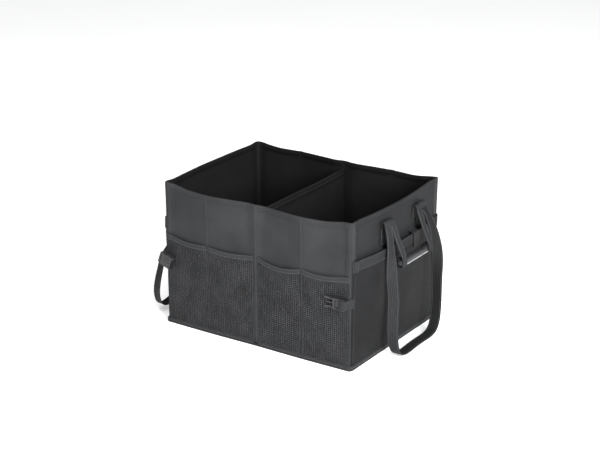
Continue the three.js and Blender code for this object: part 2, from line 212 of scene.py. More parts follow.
@dataclass(frozen=True)
class CrateShape:
    """The soft shape that all pieces sewn to the crate share."""

    half_width: float
    half_depth: float
    height: float
    foot: float
    wall: float
    centre_hinge: float
    quarter: float
    corner_hinge: float
    front_bulge: float = 15.0
    back_bulge: float = 10.0
    side_bulge: float = 12.0
    width_taper: float = 4.0
    depth_taper: float = 3.0
    rim_sag: float = 6.5
    side_sag: float = 2.5
    foot_corner: float = 5.0
    left_corner: float = 15.0
    right_corner: float = 9.0
    ripple: float = 1.1
    ripple_size: float = 85.0
    hem: float = 11.0
    hem_out: float = 0.45
    long_wall_from: float = 120.0
    side_wall_from: float = 190.0
    sag_run: float = 70.0
    edge_run: float = 40.0
    tent_centre: float = 2.0
    tent_soft: float = 0.035

    @classmethod
    def from_frame(cls) -> "CrateShape":
        """The crate's sizes, read from its CAD nodes."""
        side = Room.of("side_right_cover")
        inner = Room.of("front_inner_right_cover")
        outer = Room.of("front_outer_right_cover")
        return cls(
            half_width=side.high.x,
            half_depth=side.high.y,
            height=side.high.z,
            foot=side.low.z,
            wall=side.high.x - side.low.x,
            centre_hinge=inner.low.x,
            quarter=(inner.high.x + outer.low.x) / 2.0,
            corner_hinge=outer.high.x,
        )

    def hemmed(self, v: float, w: float) -> float:
        """The share w through a wall at height v, past both faces where the rim's hem is."""
        if v <= self.height - self.hem:
            return w
        return 0.5 + (w - 0.5) * (1.0 + 2.0 * self.hem_out / self.wall)

    def sleeve_levels(self, cell: float) -> list[float]:
        """Heights of a wall sleeve's rows, with a step at the hem."""
        line = self.height - self.hem
        return steps(self.foot, line - 0.2, cell * 1.2) + steps(line + 0.2, self.height - 0.6, cell)

    def seam_levels(self) -> list[float]:
        """Heights of an upright seam's rows."""
        return steps(self.foot + 0.4, self.height - 0.2, 8.0)

    def tent(self, x: float) -> float:
        """How far a long wall stands out at x, from 0 at its ends and middle to 1."""
        reach = abs(x)
        rising = (reach - self.tent_centre) / (self.quarter - self.tent_centre)
        falling = (self.corner_hinge - reach) / (self.corner_hinge - self.quarter)
        soft = self.tent_soft
        lowest = min(rising, falling)
        spread = math.exp(-abs(rising - falling) / soft)
        share = max(0.0, lowest - soft * math.log(1.0 + spread))
        return between(share, math.sin(share * math.pi / 2.0), 0.55 if rising < falling else 0.25)

    def rounded(self, x: float, y: float, level: float) -> tuple[float, float]:
        """A plan point, moved so that the square corners become round, more so towards the rim."""
        radius = between(self.foot_corner, self.left_corner if x < 0 else self.right_corner, level)
        past_x = abs(x) - (self.half_width - radius)
        past_y = abs(y) - (self.half_depth - radius)
        if past_x <= 0.0 or past_y <= 0.0:
            return x, y
        share = max(past_x, past_y) / math.hypot(past_x, past_y)
        return (
            math.copysign(self.half_width - radius + past_x * share, x),
            math.copysign(self.half_depth - radius + past_y * share, y),
        )

    def nearness(self, place: float, start: float, face: float) -> float:
        """How near a place is to a wall, from 0 at start to 1 at the wall's inner face."""
        return smooth((abs(place) - start) / (face - self.wall - start))

    def warp(self, x: float, y: float, z: float) -> Vector:
        """Where a point of the stiff, square crate lies on the soft one.

        Args:
            x: Place across the front, in millimetres.
            y: Place from front to back.
            z: Height.

        Returns:
            The point in metres.
        """
        level = min(max(z / self.height, 0.0), 1.0)
        swell = 0.1 + 0.9 * smooth(level)
        x, y = self.rounded(x, y, level)
        long_wall = self.nearness(y, self.long_wall_from, self.half_depth)
        side_wall = self.nearness(x, self.side_wall_from, self.half_width)
        across = 1.0 - min(abs(y) / self.half_depth, 1.0) ** 2
        bulge = self.front_bulge if y < 0 else self.back_bulge
        out_y = bulge * self.tent(x) * swell * long_wall - self.depth_taper * level * abs(y) / self.half_depth
        taper_x = self.width_taper * level * abs(x) / self.half_width
        out_x = self.side_bulge * across * level * side_wall - taper_x
        sag = 1.0 + self.rim_sag * long_wall * smooth((self.corner_hinge - abs(x)) / self.sag_run)
        sag += self.side_sag * side_wall * across
        wave = noise.noise(Vector((x, y, z)) / self.ripple_size) * self.ripple * smooth(level * 2.0)
        out_y += wave * long_wall
        out_x += wave * side_wall
        return metres(x + math.copysign(out_x, x), y + math.copysign(out_y, y), z - sag * level)

    def edge(self, place: Place, side: Side, run: float, out: float, z: float) -> Vector:
        """A point on the wall near a corner.

        Args:
            place: Front or back.
            side: Left or right.
            run: Way past the corner, negative on the long wall and positive on the side wall.
            out: Distance outside the wall's face.
            z: Height.

        Returns:
            The point in metres.
        """
        lead = out * max(0.0, 1.0 + min(run, 0.0) / self.edge_run)
        trail = out * max(0.0, 1.0 - max(run, 0.0) / self.edge_run)
        if run < 0.0:
            x, y = self.half_width + lead + run, self.half_depth + out
        else:
            x, y = self.half_width + out, self.half_depth + trail - run
        return self.warp(side.sign * x, place.sign * y, z)


# ---- Making meshes ----


class Mould:
    """Collects the closed shells of one piece and turns them into an object."""

    def __init__(self, name: str, *dress: bpy.types.Material) -> None:
        """Starts an empty piece.

        Args:
            name: The piece's name.
            *dress: Its materials, in the order that faces name them.
        """
        self.name = name
        self.dress = dress
        self.shell = bmesh.new()
        self.layer = self.shell.loops.layers.uv.new("cloth")

    def face(
        self, corners: Sequence[bmesh.types.BMVert], flat: Sequence[tuple[float, float]], finish: int
    ) -> None:
        """Adds one face with its place on the cloth."""
        made = self.shell.faces.new(corners)
        made.material_index = finish
        made.smooth = True
        for loop, (u, v) in zip(made.loops, flat):
            loop[self.layer].uv = (u * MM, v * MM)

    def loft(
        self,
        rings: Sequence[Sequence[Vector]],
        across: Sequence[float],
        along: Sequence[float],
        finishes: Sequence[int] | None = None,
        closed: bool = False,
    ) -> None:
        """Joins rings of points into a closed shell.

        Args:
            rings: Rings with the same even number of points.
            across: Cloth places round a ring, one more than its points.
            along: Cloth place of each ring, and of the first again if closed.
            finishes: Material of each strip of faces round the ring.
            closed: Whether the last ring joins the first.
        """
        rows = [[self.shell.verts.new(point) for point in ring] for ring in rings]
        size = len(rows[0])
        dressed = finishes or [0] * size
        if closed:
            rows.append(rows[0])
        for j in range(len(rows) - 1):
            for i in range(size):
                k = (i + 1) % size
                self.face(
                    (rows[j][i], rows[j][k], rows[j + 1][k], rows[j + 1][i]),
                    (
                        (across[i], along[j]),
                        (across[i + 1], along[j]),
                        (across[i + 1], along[j + 1]),
                        (across[i], along[j + 1]),
                    ),
                    dressed[i],
                )
        if closed:
            return
        for row, v in ((rows[0], along[0]), (rows[-1], along[-1])):
            for i in range(size // 2 - 1):
                others = (size - 1 - i, size - 2 - i)
                self.face(
                    (row[i], row[i + 1], row[others[1]], row[others[0]]),
                    ((across[i], v), (across[i + 1], v), (across[i + 1], v + 1.0), (across[i], v + 1.0)),
                    dressed[i],
                )

    def slab(
        self,
        spot: Spot,
        us: Sequence[float],
        vs: Sequence[float],
        roll: float = 0.6,
        finishes: tuple[int, int] = (0, 0),
    ) -> None:
        """Adds a closed sheet with rolled edges.

        Args:
            spot: Gives the point at (u, v, w), with w from 0 at the back to 1 at the front.
            us: Places across the sheet.
            vs: Places along it.
            roll: How far the rolled edges stand out.
            finishes: Materials of the front and of the back.
        """
        step_u = math.copysign(roll, us[-1] - us[0])
        step_v = math.copysign(roll, vs[-1] - vs[0])
        outline = [(u, 1.0) for u in us] + [(us[-1] + step_u, 0.5)]
        outline += [(u, 0.0) for u in reversed(us)] + [(us[0] - step_u, 0.5)]
        rows = [(vs[0] - step_v, 0.35), *[(v, 1.0) for v in vs], (vs[-1] + step_v, 0.35)]
        rings = [[spot(u, v, 0.5 + (w - 0.5) * share) for u, w in outline] for v, share in rows]
        front = len(us)
        dressed = [finishes[0]] * front + [finishes[1]] * front + [finishes[0]] * 2
        across = [u for u, _ in outline] + [outline[0][0]]
        self.loft(rings, across, [v for v, _ in rows], dressed)

    def strip(
        self, spot: Spot, us: Sequence[float], vs: Sequence[float], crest: float, highlight_reach: float
    ) -> None:
        """Adds a seam's strip over both faces of a wall, open at the foot and capped at the rim.

        Args:
            spot: Gives the point at (u, v, w), with w from 0 on the inner face to 1 on the outer.
            us: Places across the strip.
            vs: Places up it.
            crest: Place of the seam's ridge.
            highlight_reach: Faces nearer than this to the ridge take the seam finish, a lighter copy that
                paints a highlight on the ridge.
        """
        outline = [(u, 1.0) for u in us] + [(us[-1] + 0.2, 0.5)]
        outline += [(u, 0.0) for u in reversed(us)] + [(us[0] - 0.2, 0.5)]
        rows = [*[(v, 1.0) for v in vs], (vs[-1] + 0.7, 0.4)]
        rings = [[spot(u, v, 0.5 + (w - 0.5) * share) for u, w in outline] for v, share in rows]
        # Faces by the ridge take finish 2, the lighter copy that paints the crest's highlight.
        dressed = [2 if abs((a + b) / 2.0 - crest) < highlight_reach else 0 for a, b in zip(us, us[1:])]
        dressed += [0] + [1] * (len(us) + 1) + [0]
        self.loft(rings, [u for u, _ in outline] + [outline[0][0]], [v for v, _ in rows], dressed)

    def block(
        self, low: Vector, high: Vector, bevel: float, finish: int = 0, turn: Matrix | None = None
    ) -> None:
        """Adds a moulded block with rounded edges.

        Args:
            low: Its lowest corner, in millimetres.
            high: Its highest corner.
            bevel: Radius of its edges.
            finish: Its material.
            turn: A turn or shear for it, in millimetres.
        """
        made = bmesh.ops.create_cube(self.shell, size=1.0)["verts"]
        size, middle = high - low, (high + low) / 2.0
        for vert in made:
            vert.co = Vector(a * b for a, b in zip(vert.co, size)) + middle
        edges = list({edge for vert in made for edge in vert.link_edges})
        rounding = {"offset": bevel, "offset_type": "OFFSET", "segments": 3, "profile": 0.6}
        grown = bmesh.ops.bevel(self.shell, geom=edges, affect="EDGES", **rounding)
        verts = {vert for face in grown["faces"] for vert in face.verts}
        faces = {face for vert in verts for face in vert.link_faces}
        verts |= {vert for face in faces for vert in face.verts}
        for vert in verts:
            if turn is not None:
                vert.co = turn @ vert.co
            vert.co *= MM
        for face in faces:
            face.material_index = finish
            face.smooth = True
            for loop in face.loops:
                loop[self.layer].uv = (loop.vert.co.x + loop.vert.co.y, loop.vert.co.z)

    def stitches(
        self,
        line: Callable[[float], tuple[Vector, Vector]],
        start: float,
        end: float,
        finish: int,
        pitch: float = 3.4,
        width: float = 0.65,
    ) -> None:
        """Sews a row of stitches.

        Args:
            line: Gives the point and the cloth's outward direction at a running place.
            start: First running place, in millimetres.
            end: Last running place.
            finish: Material of the thread.
            pitch: Length of one stitch with its gap.
            width: Width of the thread.
        """
        count = max(1, int(abs(end - start) / pitch))
        for i in range(count):
            near = between(start, end, (i + 0.14) / count)
            far = between(start, end, (i + 0.86) / count)
            (first, normal), (last, _) = line(near), line(far)
            run = last - first
            aside = run.cross(normal).normalized() * width * MM / 2.0
            lift = normal.normalized() * width * MM / 2.0
            rings = []
            for share, girth, rise in (
                (0.0, 0.35, -0.6), (0.22, 1.0, 0.55), (0.78, 1.0, 0.55), (1.0, 0.35, -0.6)
            ):
                middle = first + run * share + lift * rise
                rings.append([
                    middle + aside * girth,
                    middle + lift * girth,
                    middle - aside * girth,
                    middle - lift * girth,
                ])
            self.loft(rings, [0, 1, 2, 3, 4], [0, 1, 2, 3], [finish] * 4)

    def made(self, body: str, slot: Slot, nodes: Sequence[str] = (), sharp: float = 50.0) -> bpy.types.Object:
        """Ends the piece and makes it ride.

        Args:
            body: The body that carries it.
            slot: Not used.
            nodes: The CAD nodes that it stands for.
            sharp: Angle in degrees above which an edge stays crisp.

        Returns:
            The object.
        """
        piece = self.loose(slot, nodes, sharp)
        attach(piece, body)
        return piece

    def loose(self, slot: Slot, nodes: Sequence[str] = (), sharp: float = 50.0) -> bpy.types.Object:
        """Ends the piece without a body of its own."""
        bmesh.ops.recalc_face_normals(self.shell, faces=self.shell.faces)
        mesh = bpy.data.meshes.new(self.name)
        self.shell.to_mesh(mesh)
        self.shell.free()
        mesh.set_sharp_from_angle(angle=math.radians(sharp))
        piece = bpy.data.objects.new(self.name, mesh)
        bpy.context.scene.collection.objects.link(piece)
        for material in self.dress:
            mesh.materials.append(material)
        if nodes:
            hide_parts(*nodes)
        LOG.info("made %s with %d faces", self.name, len(mesh.polygons))
        return piece


# ---- Finishes ----


class NodeBench:
    """A short way to lay out one material's nodes."""

    def __init__(self, name: str) -> None:
        """Starts a material whose shader is ready."""
        self.material = bpy.data.materials.new(name)
        self.material.use_nodes = True
        self.tree = self.material.node_tree
        self.shader = self.tree.nodes["Principled BSDF"]

    def node(self, kind: str, settings: dict | None = None, **sockets: object) -> bpy.types.Node:
        """Adds a node.

        Args:
            kind: Node type, without its ShaderNode prefix.
            settings: Attributes to set on it.
            **sockets: Values or outputs for its inputs, by name with _ for a space.

        Returns:
            The node.
        """
        made = self.tree.nodes.new("ShaderNode" + kind)
        for key, value in (settings or {}).items():
            setattr(made, key, value)
        for key, value in sockets.items():
            self.feed(made.inputs[key.replace("_", " ")], value)
        return made

    def feed(self, socket: bpy.types.NodeSocket, value: object) -> None:
        """Links an output to a socket, or sets the socket to a value."""
        if isinstance(value, bpy.types.NodeSocket):
            self.tree.links.new(value, socket)
        else:
            socket.default_value = value

    def sum(self, operation: str, *terms: object, clamp: bool = False) -> bpy.types.NodeSocket:
        """One step of arithmetic, as an output."""
        made = self.node("Math", {"operation": operation, "use_clamp": clamp})
        for socket, term in zip(made.inputs, terms):
            self.feed(socket, term)
        return made.outputs[0]

    def mix(self, share: object, first: object, second: object) -> bpy.types.NodeSocket:
        """A colour between two others."""
        made = self.node("Mix", {"data_type": "RGBA"})
        self.feed(made.inputs[0], share)
        self.feed(made.inputs[6], first)
        self.feed(made.inputs[7], second)
        return made.outputs[2]

    def grain(
        self, vector: object, scale: float, detail: float = 2.0, rough: float = 0.5
    ) -> bpy.types.NodeSocket:
        """Soft random grain from 0 to 1."""
        return self.node(
            "TexNoise", Vector=vector, Scale=scale, Detail=detail, Roughness=rough
        ).outputs["Fac"]

    def ranged(
        self, value: object, low: float, high: float, to_low: float, to_high: float
    ) -> bpy.types.NodeSocket:
        """A value moved from one range to another and held inside it."""
        made = self.node("MapRange", {"clamp": True}, Value=value)
        for name, number in (("From Min", low), ("From Max", high), ("To Min", to_low), ("To Max", to_high)):
            made.inputs[name].default_value = number
        return made.outputs[0]

    def solid(self) -> bpy.types.NodeSocket:
        """The place in the piece itself, in metres."""
        return self.node("TexCoord").outputs["Object"]

    def streaks(
        self, place: object, scale: tuple[float, float, float], detail: float = 3.0
    ) -> bpy.types.NodeSocket:
        """Grain drawn out along one axis, from 0 to 1."""
        return self.grain(self.node("Mapping", Vector=place, Scale=scale).outputs[0], 1.0, detail)

    def dressed(
        self, colour: object, roughness: object, height: object, depth: float, gloss: float = 0.5
    ) -> bpy.types.Material:
        """Feeds the shader and ends the material.

        Args:
            colour: Base colour.
            roughness: Roughness.
            height: Height of the surface, from 0 to 1.
            depth: Metres from the lowest to the highest place.
            gloss: The shader's specular level.

        Returns:
            The material.
        """
        self.feed(self.shader.inputs["Base Color"], colour)
        self.feed(self.shader.inputs["Roughness"], roughness)
        self.shader.inputs["Specular IOR Level"].default_value = gloss
        self.bumped(height, depth)
        return self.material

    def cloth(self) -> tuple[bpy.types.NodeSocket, bpy.types.NodeSocket, bpy.types.NodeSocket]:
        """The place on the cloth as a vector and its two parts, in metres."""
        place = self.node("UVMap", {"uv_map": "cloth"}).outputs[0]
        parts = self.node("SeparateXYZ", Vector=place)
        return place, parts.outputs[0], parts.outputs[1]

    def bumped(self, height: object, depth: float) -> None:
        """Raises the surface by a height from 0 to 1, depth metres deep."""
        made = self.node("Bump", Height=height, Strength=1.0, Distance=depth)
        self.feed(self.shader.inputs["Normal"], made.outputs[0])

    def wave(self, place: object, pitch: float) -> bpy.types.NodeSocket:
        """A wave along a place on the cloth, from -1 to 1, with its pitch in millimetres."""
        return self.sum("SINE", self.sum("MULTIPLY", place, math.tau / (pitch * MM)))


Grey = tuple[float, float, float]


def tone(colour: Grey) -> tuple[float, float, float, float]:
    """A colour with its alpha."""
    return (*colour, 1.0)


@dataclass(frozen=True)
class Woven:
    """Plain-woven polyester: crossing yarns, slubs, faint wear and dust, and painted shade in the weave's
    hollows.
    """

    name: str
    dark: Grey
    light: Grey
    yarn: float = 0.9
    depth: float = 0.00022
    roughness: float = 0.62
    gloss: float = 0.08

    def material(self) -> bpy.types.Material:
        """The finish as a material."""
        bench = NodeBench(self.name)
        place, u, v = bench.cloth()
        warp_yarn = bench.wave(u, self.yarn * 2.0)
        weft_yarn = bench.wave(v, self.yarn * 2.0)
        over = bench.sum("GREATER_THAN", bench.sum("MULTIPLY", warp_yarn, weft_yarn), 0.0)
        rise_one = bench.sum("ABSOLUTE", warp_yarn)
        rise_two = bench.sum("ABSOLUTE", weft_yarn)
        gap = bench.sum("SUBTRACT", rise_one, rise_two)
        weave = bench.sum("ADD", rise_two, bench.sum("MULTIPLY", over, gap))
        blotch = bench.grain(bench.solid(), 14.0, 3.0)
        slub = bench.streaks(place, (260.0, 1500.0, 1.0), 2.0)
        fleck = bench.grain(place, 520.0, 2.0, 0.6)
        shade = bench.sum(
            "ADD", bench.ranged(blotch, 0.3, 0.7, 0.0, 0.45), bench.ranged(slub, 0.3, 0.7, 0.0, 0.3)
        )
        shade = bench.sum("ADD", shade, bench.ranged(fleck, 0.35, 0.7, 0.0, 0.25), clamp=True)
        body = bench.mix(shade, tone(self.dark), tone(self.light))
        # Painted shade: the colour darkens towards the dark tone where the weave is low.
        hollow_shaded = bench.mix(bench.ranged(weave, 0.1, 0.75, 0.55, 0.0), body, tone(self.dark))
        rough = bench.ranged(slub, 0.3, 0.7, self.roughness - 0.05, self.roughness + 0.08)
        height = bench.sum("ADD", weave, bench.sum("MULTIPLY", slub, 0.6))
        return bench.dressed(hollow_shaded, rough, height, self.depth, self.gloss)


@dataclass(frozen=True)
class Netting:
    """Warp-knitted mesh: strands round rows of small holes that let the wall show, darkened round each hole
    by painted shade.
    """

    name: str
    dark: Grey
    light: Grey
    pitch: float = 4.8
    hole: float = 0.24
    depth: float = 0.0003
    # Near-black painted round each hole as shade.
    shade: Grey = (0.004, 0.004, 0.0045)

    def material(self) -> bpy.types.Material:
        """The finish as a material."""
        bench = NodeBench(self.name)
        place, _, _ = bench.cloth()
        per_metre = 1.0 / (self.pitch * MM)
        spaced = bench.node("Mapping", Vector=place, Scale=(per_metre, per_metre, 1.0)).outputs[0]
        cells = bench.node(
            "TexVoronoi", {"voronoi_dimensions": "2D"}, Vector=spaced, Scale=1.0, Randomness=0.06
        )
        ring = cells.outputs["Distance"]
        open_share = bench.ranged(ring, self.hole - 0.07, self.hole + 0.05, 0.0, 1.0)
        streak = bench.streaks(place, (420.0, 40.0, 1.0))
        blotch = bench.grain(bench.solid(), 22.0, 3.0)
        shade = bench.sum(
            "ADD", bench.ranged(streak, 0.3, 0.7, 0.0, 0.6), bench.ranged(blotch, 0.3, 0.7, 0.0, 0.4)
        )
        strand = bench.mix(shade, tone(self.dark), tone(self.light))
        # Painted shade: strands darken to the shade colour near each hole.
        hole_shade_fade = bench.ranged(ring, self.hole - 0.05, self.hole + 0.3, 0.0, 1.0)
        bench.feed(bench.shader.inputs["Alpha"], open_share)
        return bench.dressed(
            bench.mix(hole_shade_fade, tone(self.shade), strand),
            bench.ranged(streak, 0.3, 0.7, 0.5, 0.68),
            bench.ranged(ring, self.hole, 0.7, 0.0, 1.0),
            self.depth,
            0.12,
        )


@dataclass(frozen=True)
class Tape:
    """Grosgrain tape and webbing: ribs across or along."""

    name: str
    dark: Grey
    light: Grey
    rib: float = 1.5
    weft: float = 1.1
    depth: float = 0.0003
    roughness: float = 0.6

    def material(self) -> bpy.types.Material:
        """The finish as a material."""
        bench = NodeBench(self.name)
        place, u, v = bench.cloth()
        ribs = bench.sum("MULTIPLY", bench.sum("ADD", bench.wave(u, self.rib), 1.0), 0.5)
        picks = bench.sum("MULTIPLY", bench.sum("ADD", bench.wave(v, self.weft), 1.0), 0.5)
        weave = bench.sum("ADD", bench.sum("MULTIPLY", ribs, 0.65), bench.sum("MULTIPLY", picks, 0.35))
        run = bench.streaks(place, (900.0, 60.0, 1.0))
        fleck = bench.grain(place, 600.0, 2.0, 0.6)
        shade = bench.sum(
            "ADD", bench.ranged(run, 0.3, 0.7, 0.0, 0.55), bench.ranged(fleck, 0.3, 0.7, 0.0, 0.35)
        )
        body = bench.mix(shade, tone(self.dark), tone(self.light))
        # Painted shade: the colour darkens towards the dark tone between the ribs.
        return bench.dressed(
            bench.mix(bench.ranged(weave, 0.1, 0.7, 0.5, 0.0), body, tone(self.dark)),
            bench.ranged(weave, 0.0, 1.0, self.roughness + 0.12, self.roughness - 0.05),
            weave,
            self.depth,
            0.12,
        )


@dataclass(frozen=True)
class Moulded:
    """Moulded plastic: fine spark-eroded grain, flow marks, and scuffs."""

    name: str
    dark: Grey
    light: Grey
    roughness: float = 0.42

    def material(self) -> bpy.types.Material:
        """The finish as a material."""
        bench = NodeBench(self.name)
        solid = bench.solid()
        grain = bench.grain(solid, 1400.0, 2.0, 0.6)
        flow = bench.streaks(solid, (60.0, 60.0, 260.0))
        edge = bench.node("NewGeometry").outputs["Pointiness"]
        wear = bench.sum(
            "MULTIPLY", bench.ranged(edge, 0.5, 0.62, 0.0, 1.0), bench.ranged(flow, 0.35, 0.65, 0.2, 1.0)
        )
        shade = bench.sum("ADD", bench.ranged(flow, 0.3, 0.7, 0.0, 0.5), wear, clamp=True)
        colour = bench.mix(shade, tone(self.dark), tone(self.light))
        rough = bench.ranged(flow, 0.3, 0.7, self.roughness - 0.06, self.roughness + 0.12)
        return bench.dressed(colour, rough, grain, 0.00006)


@dataclass(frozen=True)
class Thread:
    """Twisted sewing thread."""

    name: str
    dark: Grey
    light: Grey

    def material(self) -> bpy.types.Material:
        """The finish as a material."""
        bench = NodeBench(self.name)
        grain = bench.grain(bench.solid(), 2200.0, 2.0)
        colour = bench.mix(bench.ranged(grain, 0.35, 0.65, 0.0, 1.0), tone(self.dark), tone(self.light))
        return bench.dressed(colour, bench.ranged(grain, 0.3, 0.7, 0.5, 0.65), grain, 0.00015)


@dataclass
class Wardrobe:
    """Every finish on the crate, made once."""

    woven: bpy.types.Material = field(init=False)
    side_woven: bpy.types.Material = field(init=False)
    shaded_pocket_woven: bpy.types.Material = field(init=False)
    seam: bpy.types.Material = field(init=False)
    lining: bpy.types.Material = field(init=False)
    netting: bpy.types.Material = field(init=False)
    binding: bpy.types.Material = field(init=False)
    webbing: bpy.types.Material = field(init=False)
    plastic: bpy.types.Material = field(init=False)
    shaded_webbing_back: bpy.types.Material = field(init=False)
    highlight_trim: bpy.types.Material = field(init=False)
    shaded_side_tape: bpy.types.Material = field(init=False)
    thread: bpy.types.Material = field(init=False)
    dark_thread: bpy.types.Material = field(init=False)

    def __post_init__(self) -> None:
        """Makes the materials."""
        self.woven = Woven("charcoal_oxford", (0.0220, 0.0224, 0.0235), (0.0490, 0.0500, 0.0524)).material()
        # The side walls take a darker copy of the oxford: painted shade on the sides.
        self.side_woven = Woven("side_oxford_painted_shade", (0.0125, 0.0128, 0.0134), (0.0280, 0.0286, 0.0300)).material()
        # The side pockets take an even darker copy of the oxford: painted shade on the sides.
        self.shaded_pocket_woven = Woven(
            "pocket_oxford_painted_shade", (0.0075, 0.0076, 0.0080), (0.0170, 0.0173, 0.0182)
        ).material()
        # A lighter copy of the oxford for the seams' crests: painted highlight along the ridges.
        self.seam = Woven(
            "pinched_seam_painted_highlight", (0.0280, 0.0286, 0.0300), (0.0560, 0.0571, 0.0599), yarn=0.7
        ).material()
        self.lining = Woven(
            "black_lining",
            (0.0050, 0.0051, 0.0054),
            (0.0120, 0.0122, 0.0128),
            yarn=0.6,
            depth=0.00012,
            roughness=0.6,
            gloss=0.1,
        ).material()
        self.netting = Netting("knitted_mesh", (0.0120, 0.0122, 0.0128), (0.0580, 0.0592, 0.0621)).material()
        self.binding = Tape(
            "edge_binding", (0.0210, 0.0214, 0.0225), (0.0430, 0.0439, 0.0460), rib=1.1
        ).material()
        self.webbing = Tape(
            "strap_webbing", (0.0080, 0.0082, 0.0086), (0.0400, 0.0408, 0.0428), rib=4.0, depth=0.0006
        ).material()
        # A darker copy of the webbing for the straps' inner faces: painted shade.
        self.shaded_webbing_back = Tape(
            "strap_back_painted_shade", (0.0060, 0.0061, 0.0064), (0.0200, 0.0204, 0.0214), rib=4.0, depth=0.0006
        ).material()
        # The side pockets' hem, tab and patches take a darker copy of the binding tape: painted shade on the
        # sides.
        self.shaded_side_tape = Tape(
            "side_binding", (0.0125, 0.0128, 0.0134), (0.0270, 0.0275, 0.0289), rib=1.1
        ).material()
        # A pale grey for the bead along the grip's lower edge: painted highlight.
        self.highlight_trim = Moulded("grey_painted_highlight", (0.16, 0.163, 0.168), (0.30, 0.303, 0.31)).material()
        self.plastic = Moulded("black_acetal", (0.007, 0.007, 0.008), (0.026, 0.026, 0.028)).material()
        self.thread = Thread("grey_thread", (0.05, 0.051, 0.054), (0.10, 0.102, 0.106)).material()
        self.dark_thread = Thread("charcoal_thread", (0.02, 0.0205, 0.022), (0.045, 0.046, 0.048)).material()


# ---- Long walls ----


@dataclass
class LongPanel:
    """One board panel of the front or back wall: sleeve, rim hem and bound foot."""

    shape: CrateShape
    dress: Wardrobe
    place: Place
    part: Part
    side: Side
    cell: float = 6.0
    stitch_drop: float = 9.0
    fold_keep: float = 0.3

    @property
    def name(self) -> str:
        """The panel's name, which is also its body's."""
        return f"{self.place.value}_{self.part.value}_{self.side.value}"

    def spot(self, u: float, v: float, w: float) -> Vector:
        """A point of the sleeve at u across, v up and w through it."""
        thick = self.shape.wall
        y = self.shape.half_depth - thick + self.shape.hemmed(v, w) * thick
        return self.shape.warp(self.side.sign * u, self.place.sign * y, v)

    def flatten(self, piece: bpy.types.Object) -> bpy.types.Object:
        """Gives the panel's piece its own copy of its mesh."""
        anchor = metres(0.0, self.place.sign * (self.shape.half_depth - self.shape.depth_taper / 2.0), 0.0)
        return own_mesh(piece, f"fold_{self.side.value}", (0.0, 1.0, 0.0), tuple(anchor), self.fold_keep)

    def build(self) -> None:
        """Makes the sleeve and its bound foot."""
        near, far = Room.of(f"{self.name}_cover").reach(0)
        shape = self.shape
        us = steps(near, far, self.cell)
        vs = shape.sleeve_levels(self.cell)
        mould = Mould(f"{self.name}_sleeve", self.dress.woven, self.dress.lining, self.dress.dark_thread)
        mould.slab(self.spot, us, vs, finishes=(0, 1))
        for drop in (self.stitch_drop, 2.6):
            mould.stitches(self.row(shape.height - drop, 1.0), near + 2.0, far - 2.0, 2)
        self.flatten(mould.made(self.name, Slot.WOVEN, (f"{self.name}_cover", f"{self.name}_board")))
        self.flatten(self.foot(near, far))

    def row(self, height: float, w: float) -> Callable[[float], tuple[Vector, Vector]]:
        """A level line on the sleeve's face, for stitches."""
        return lambda u: (self.spot(u, height, w), Vector((0.0, self.place.sign, 0.15)))

    def foot(self, near: float, far: float) -> bpy.types.Object:
        """The bound lower edge along this panel."""
        lip = Room.of(f"{self.name}_lip")
        return EdgeBinding(
            self.shape, self.dress, lip.high.z - lip.low.z, lip.low.z
        ).along_panel(self, near, far)


@dataclass
class EdgeBinding:
    """The rolled binding round the crate's lower edge."""

    shape: CrateShape
    dress: Wardrobe
    height: float
    low: float
    out: float = 5.0

    def profile(self) -> list[tuple[float, float]]:
        """The binding's section as (out, height) points."""
        top = self.low + self.height
        return [
            (0.3, top + 0.3),
            (2.0, top + 0.5),
            (3.8, top - 0.3),
            (self.out - 0.2, top - 1.8),
            (self.out + 0.1, top - 3.6),
            (self.out, self.low + 0.2),
            (2.4, self.low),
            (0.3, self.low),
        ]

    def rings(self, spots: Sequence[Callable[[float, float], Vector]]) -> list[list[Vector]]:
        """The section placed at each spot."""
        return [[spot(out, z) for out, z in self.profile()] for spot in spots]

    def cloth(self) -> list[float]:
        """Places round the section on the tape."""
        return [2.0 * i for i in range(9)]

    def along_panel(self, panel: LongPanel, near: float, far: float) -> bpy.types.Object:
        """The binding of a long wall's panel."""
        shape, side, place = self.shape, panel.side, panel.place
        mould = Mould(f"{panel.name}_foot_binding", self.dress.binding, self.dress.thread)
        end = shape.half_width if panel.part is Part.OUTER else far + 0.3
        runs = [u - shape.half_width for u in steps(near - 0.3, end - 24.0, 8.0)] + [
            u - shape.half_width for u in steps(end - 22.0, end, 2.5)
        ]
        spots = [lambda out, z, run=run: shape.edge(place, side, run, out, z) for run in runs]
        mould.loft(self.rings(spots), self.cloth(), runs)
        mould.stitches(
            lambda run: (
                shape.edge(place, side, run, self.out + 0.15, self.low + self.height - 3.4),
                Vector((0.0, place.sign, 0.3)),
            ),
            runs[0] + 2.0,
            -18.0 if panel.part is Part.OUTER else runs[-1] - 2.0,
            1,
        )
        return mould.made(panel.name, Slot.BINDING, (f"{panel.name}_lip",))

    def along_side(self, side: Side) -> bpy.types.Object:
        """The binding of a side wall."""
        shape = self.shape
        name = f"side_{side.value}"
        mould = Mould(f"{name}_foot_binding", self.dress.binding, self.dress.thread)
        corner = steps(0.0, 22.0, 2.5)
        span = steps(24.0, shape.half_depth, 8.0)
        spots = [lambda out, z, run=run: shape.edge(Place.FRONT, side, run, out, z) for run in corner + span]
        behind = [*reversed(span[:-1]), *reversed(corner)]
        spots += [lambda out, z, run=run: shape.edge(Place.BACK, side, run, out, z) for run in behind]
        total = 2.0 * shape.half_depth
        runs = corner + span + [total - run for run in behind]
        mould.loft(self.rings(spots), self.cloth(), runs)
        for place in Place:
            mould.stitches(
                lambda run, place=place: (
                    shape.edge(place, side, run, self.out + 0.15, self.low + self.height - 3.4),
                    Vector((side.sign, 0.0, 0.3)),
                ),
                18.0,
                shape.half_depth,
                1,
            )
        return mould.made(name, Slot.BINDING, (f"{name}_lip",))


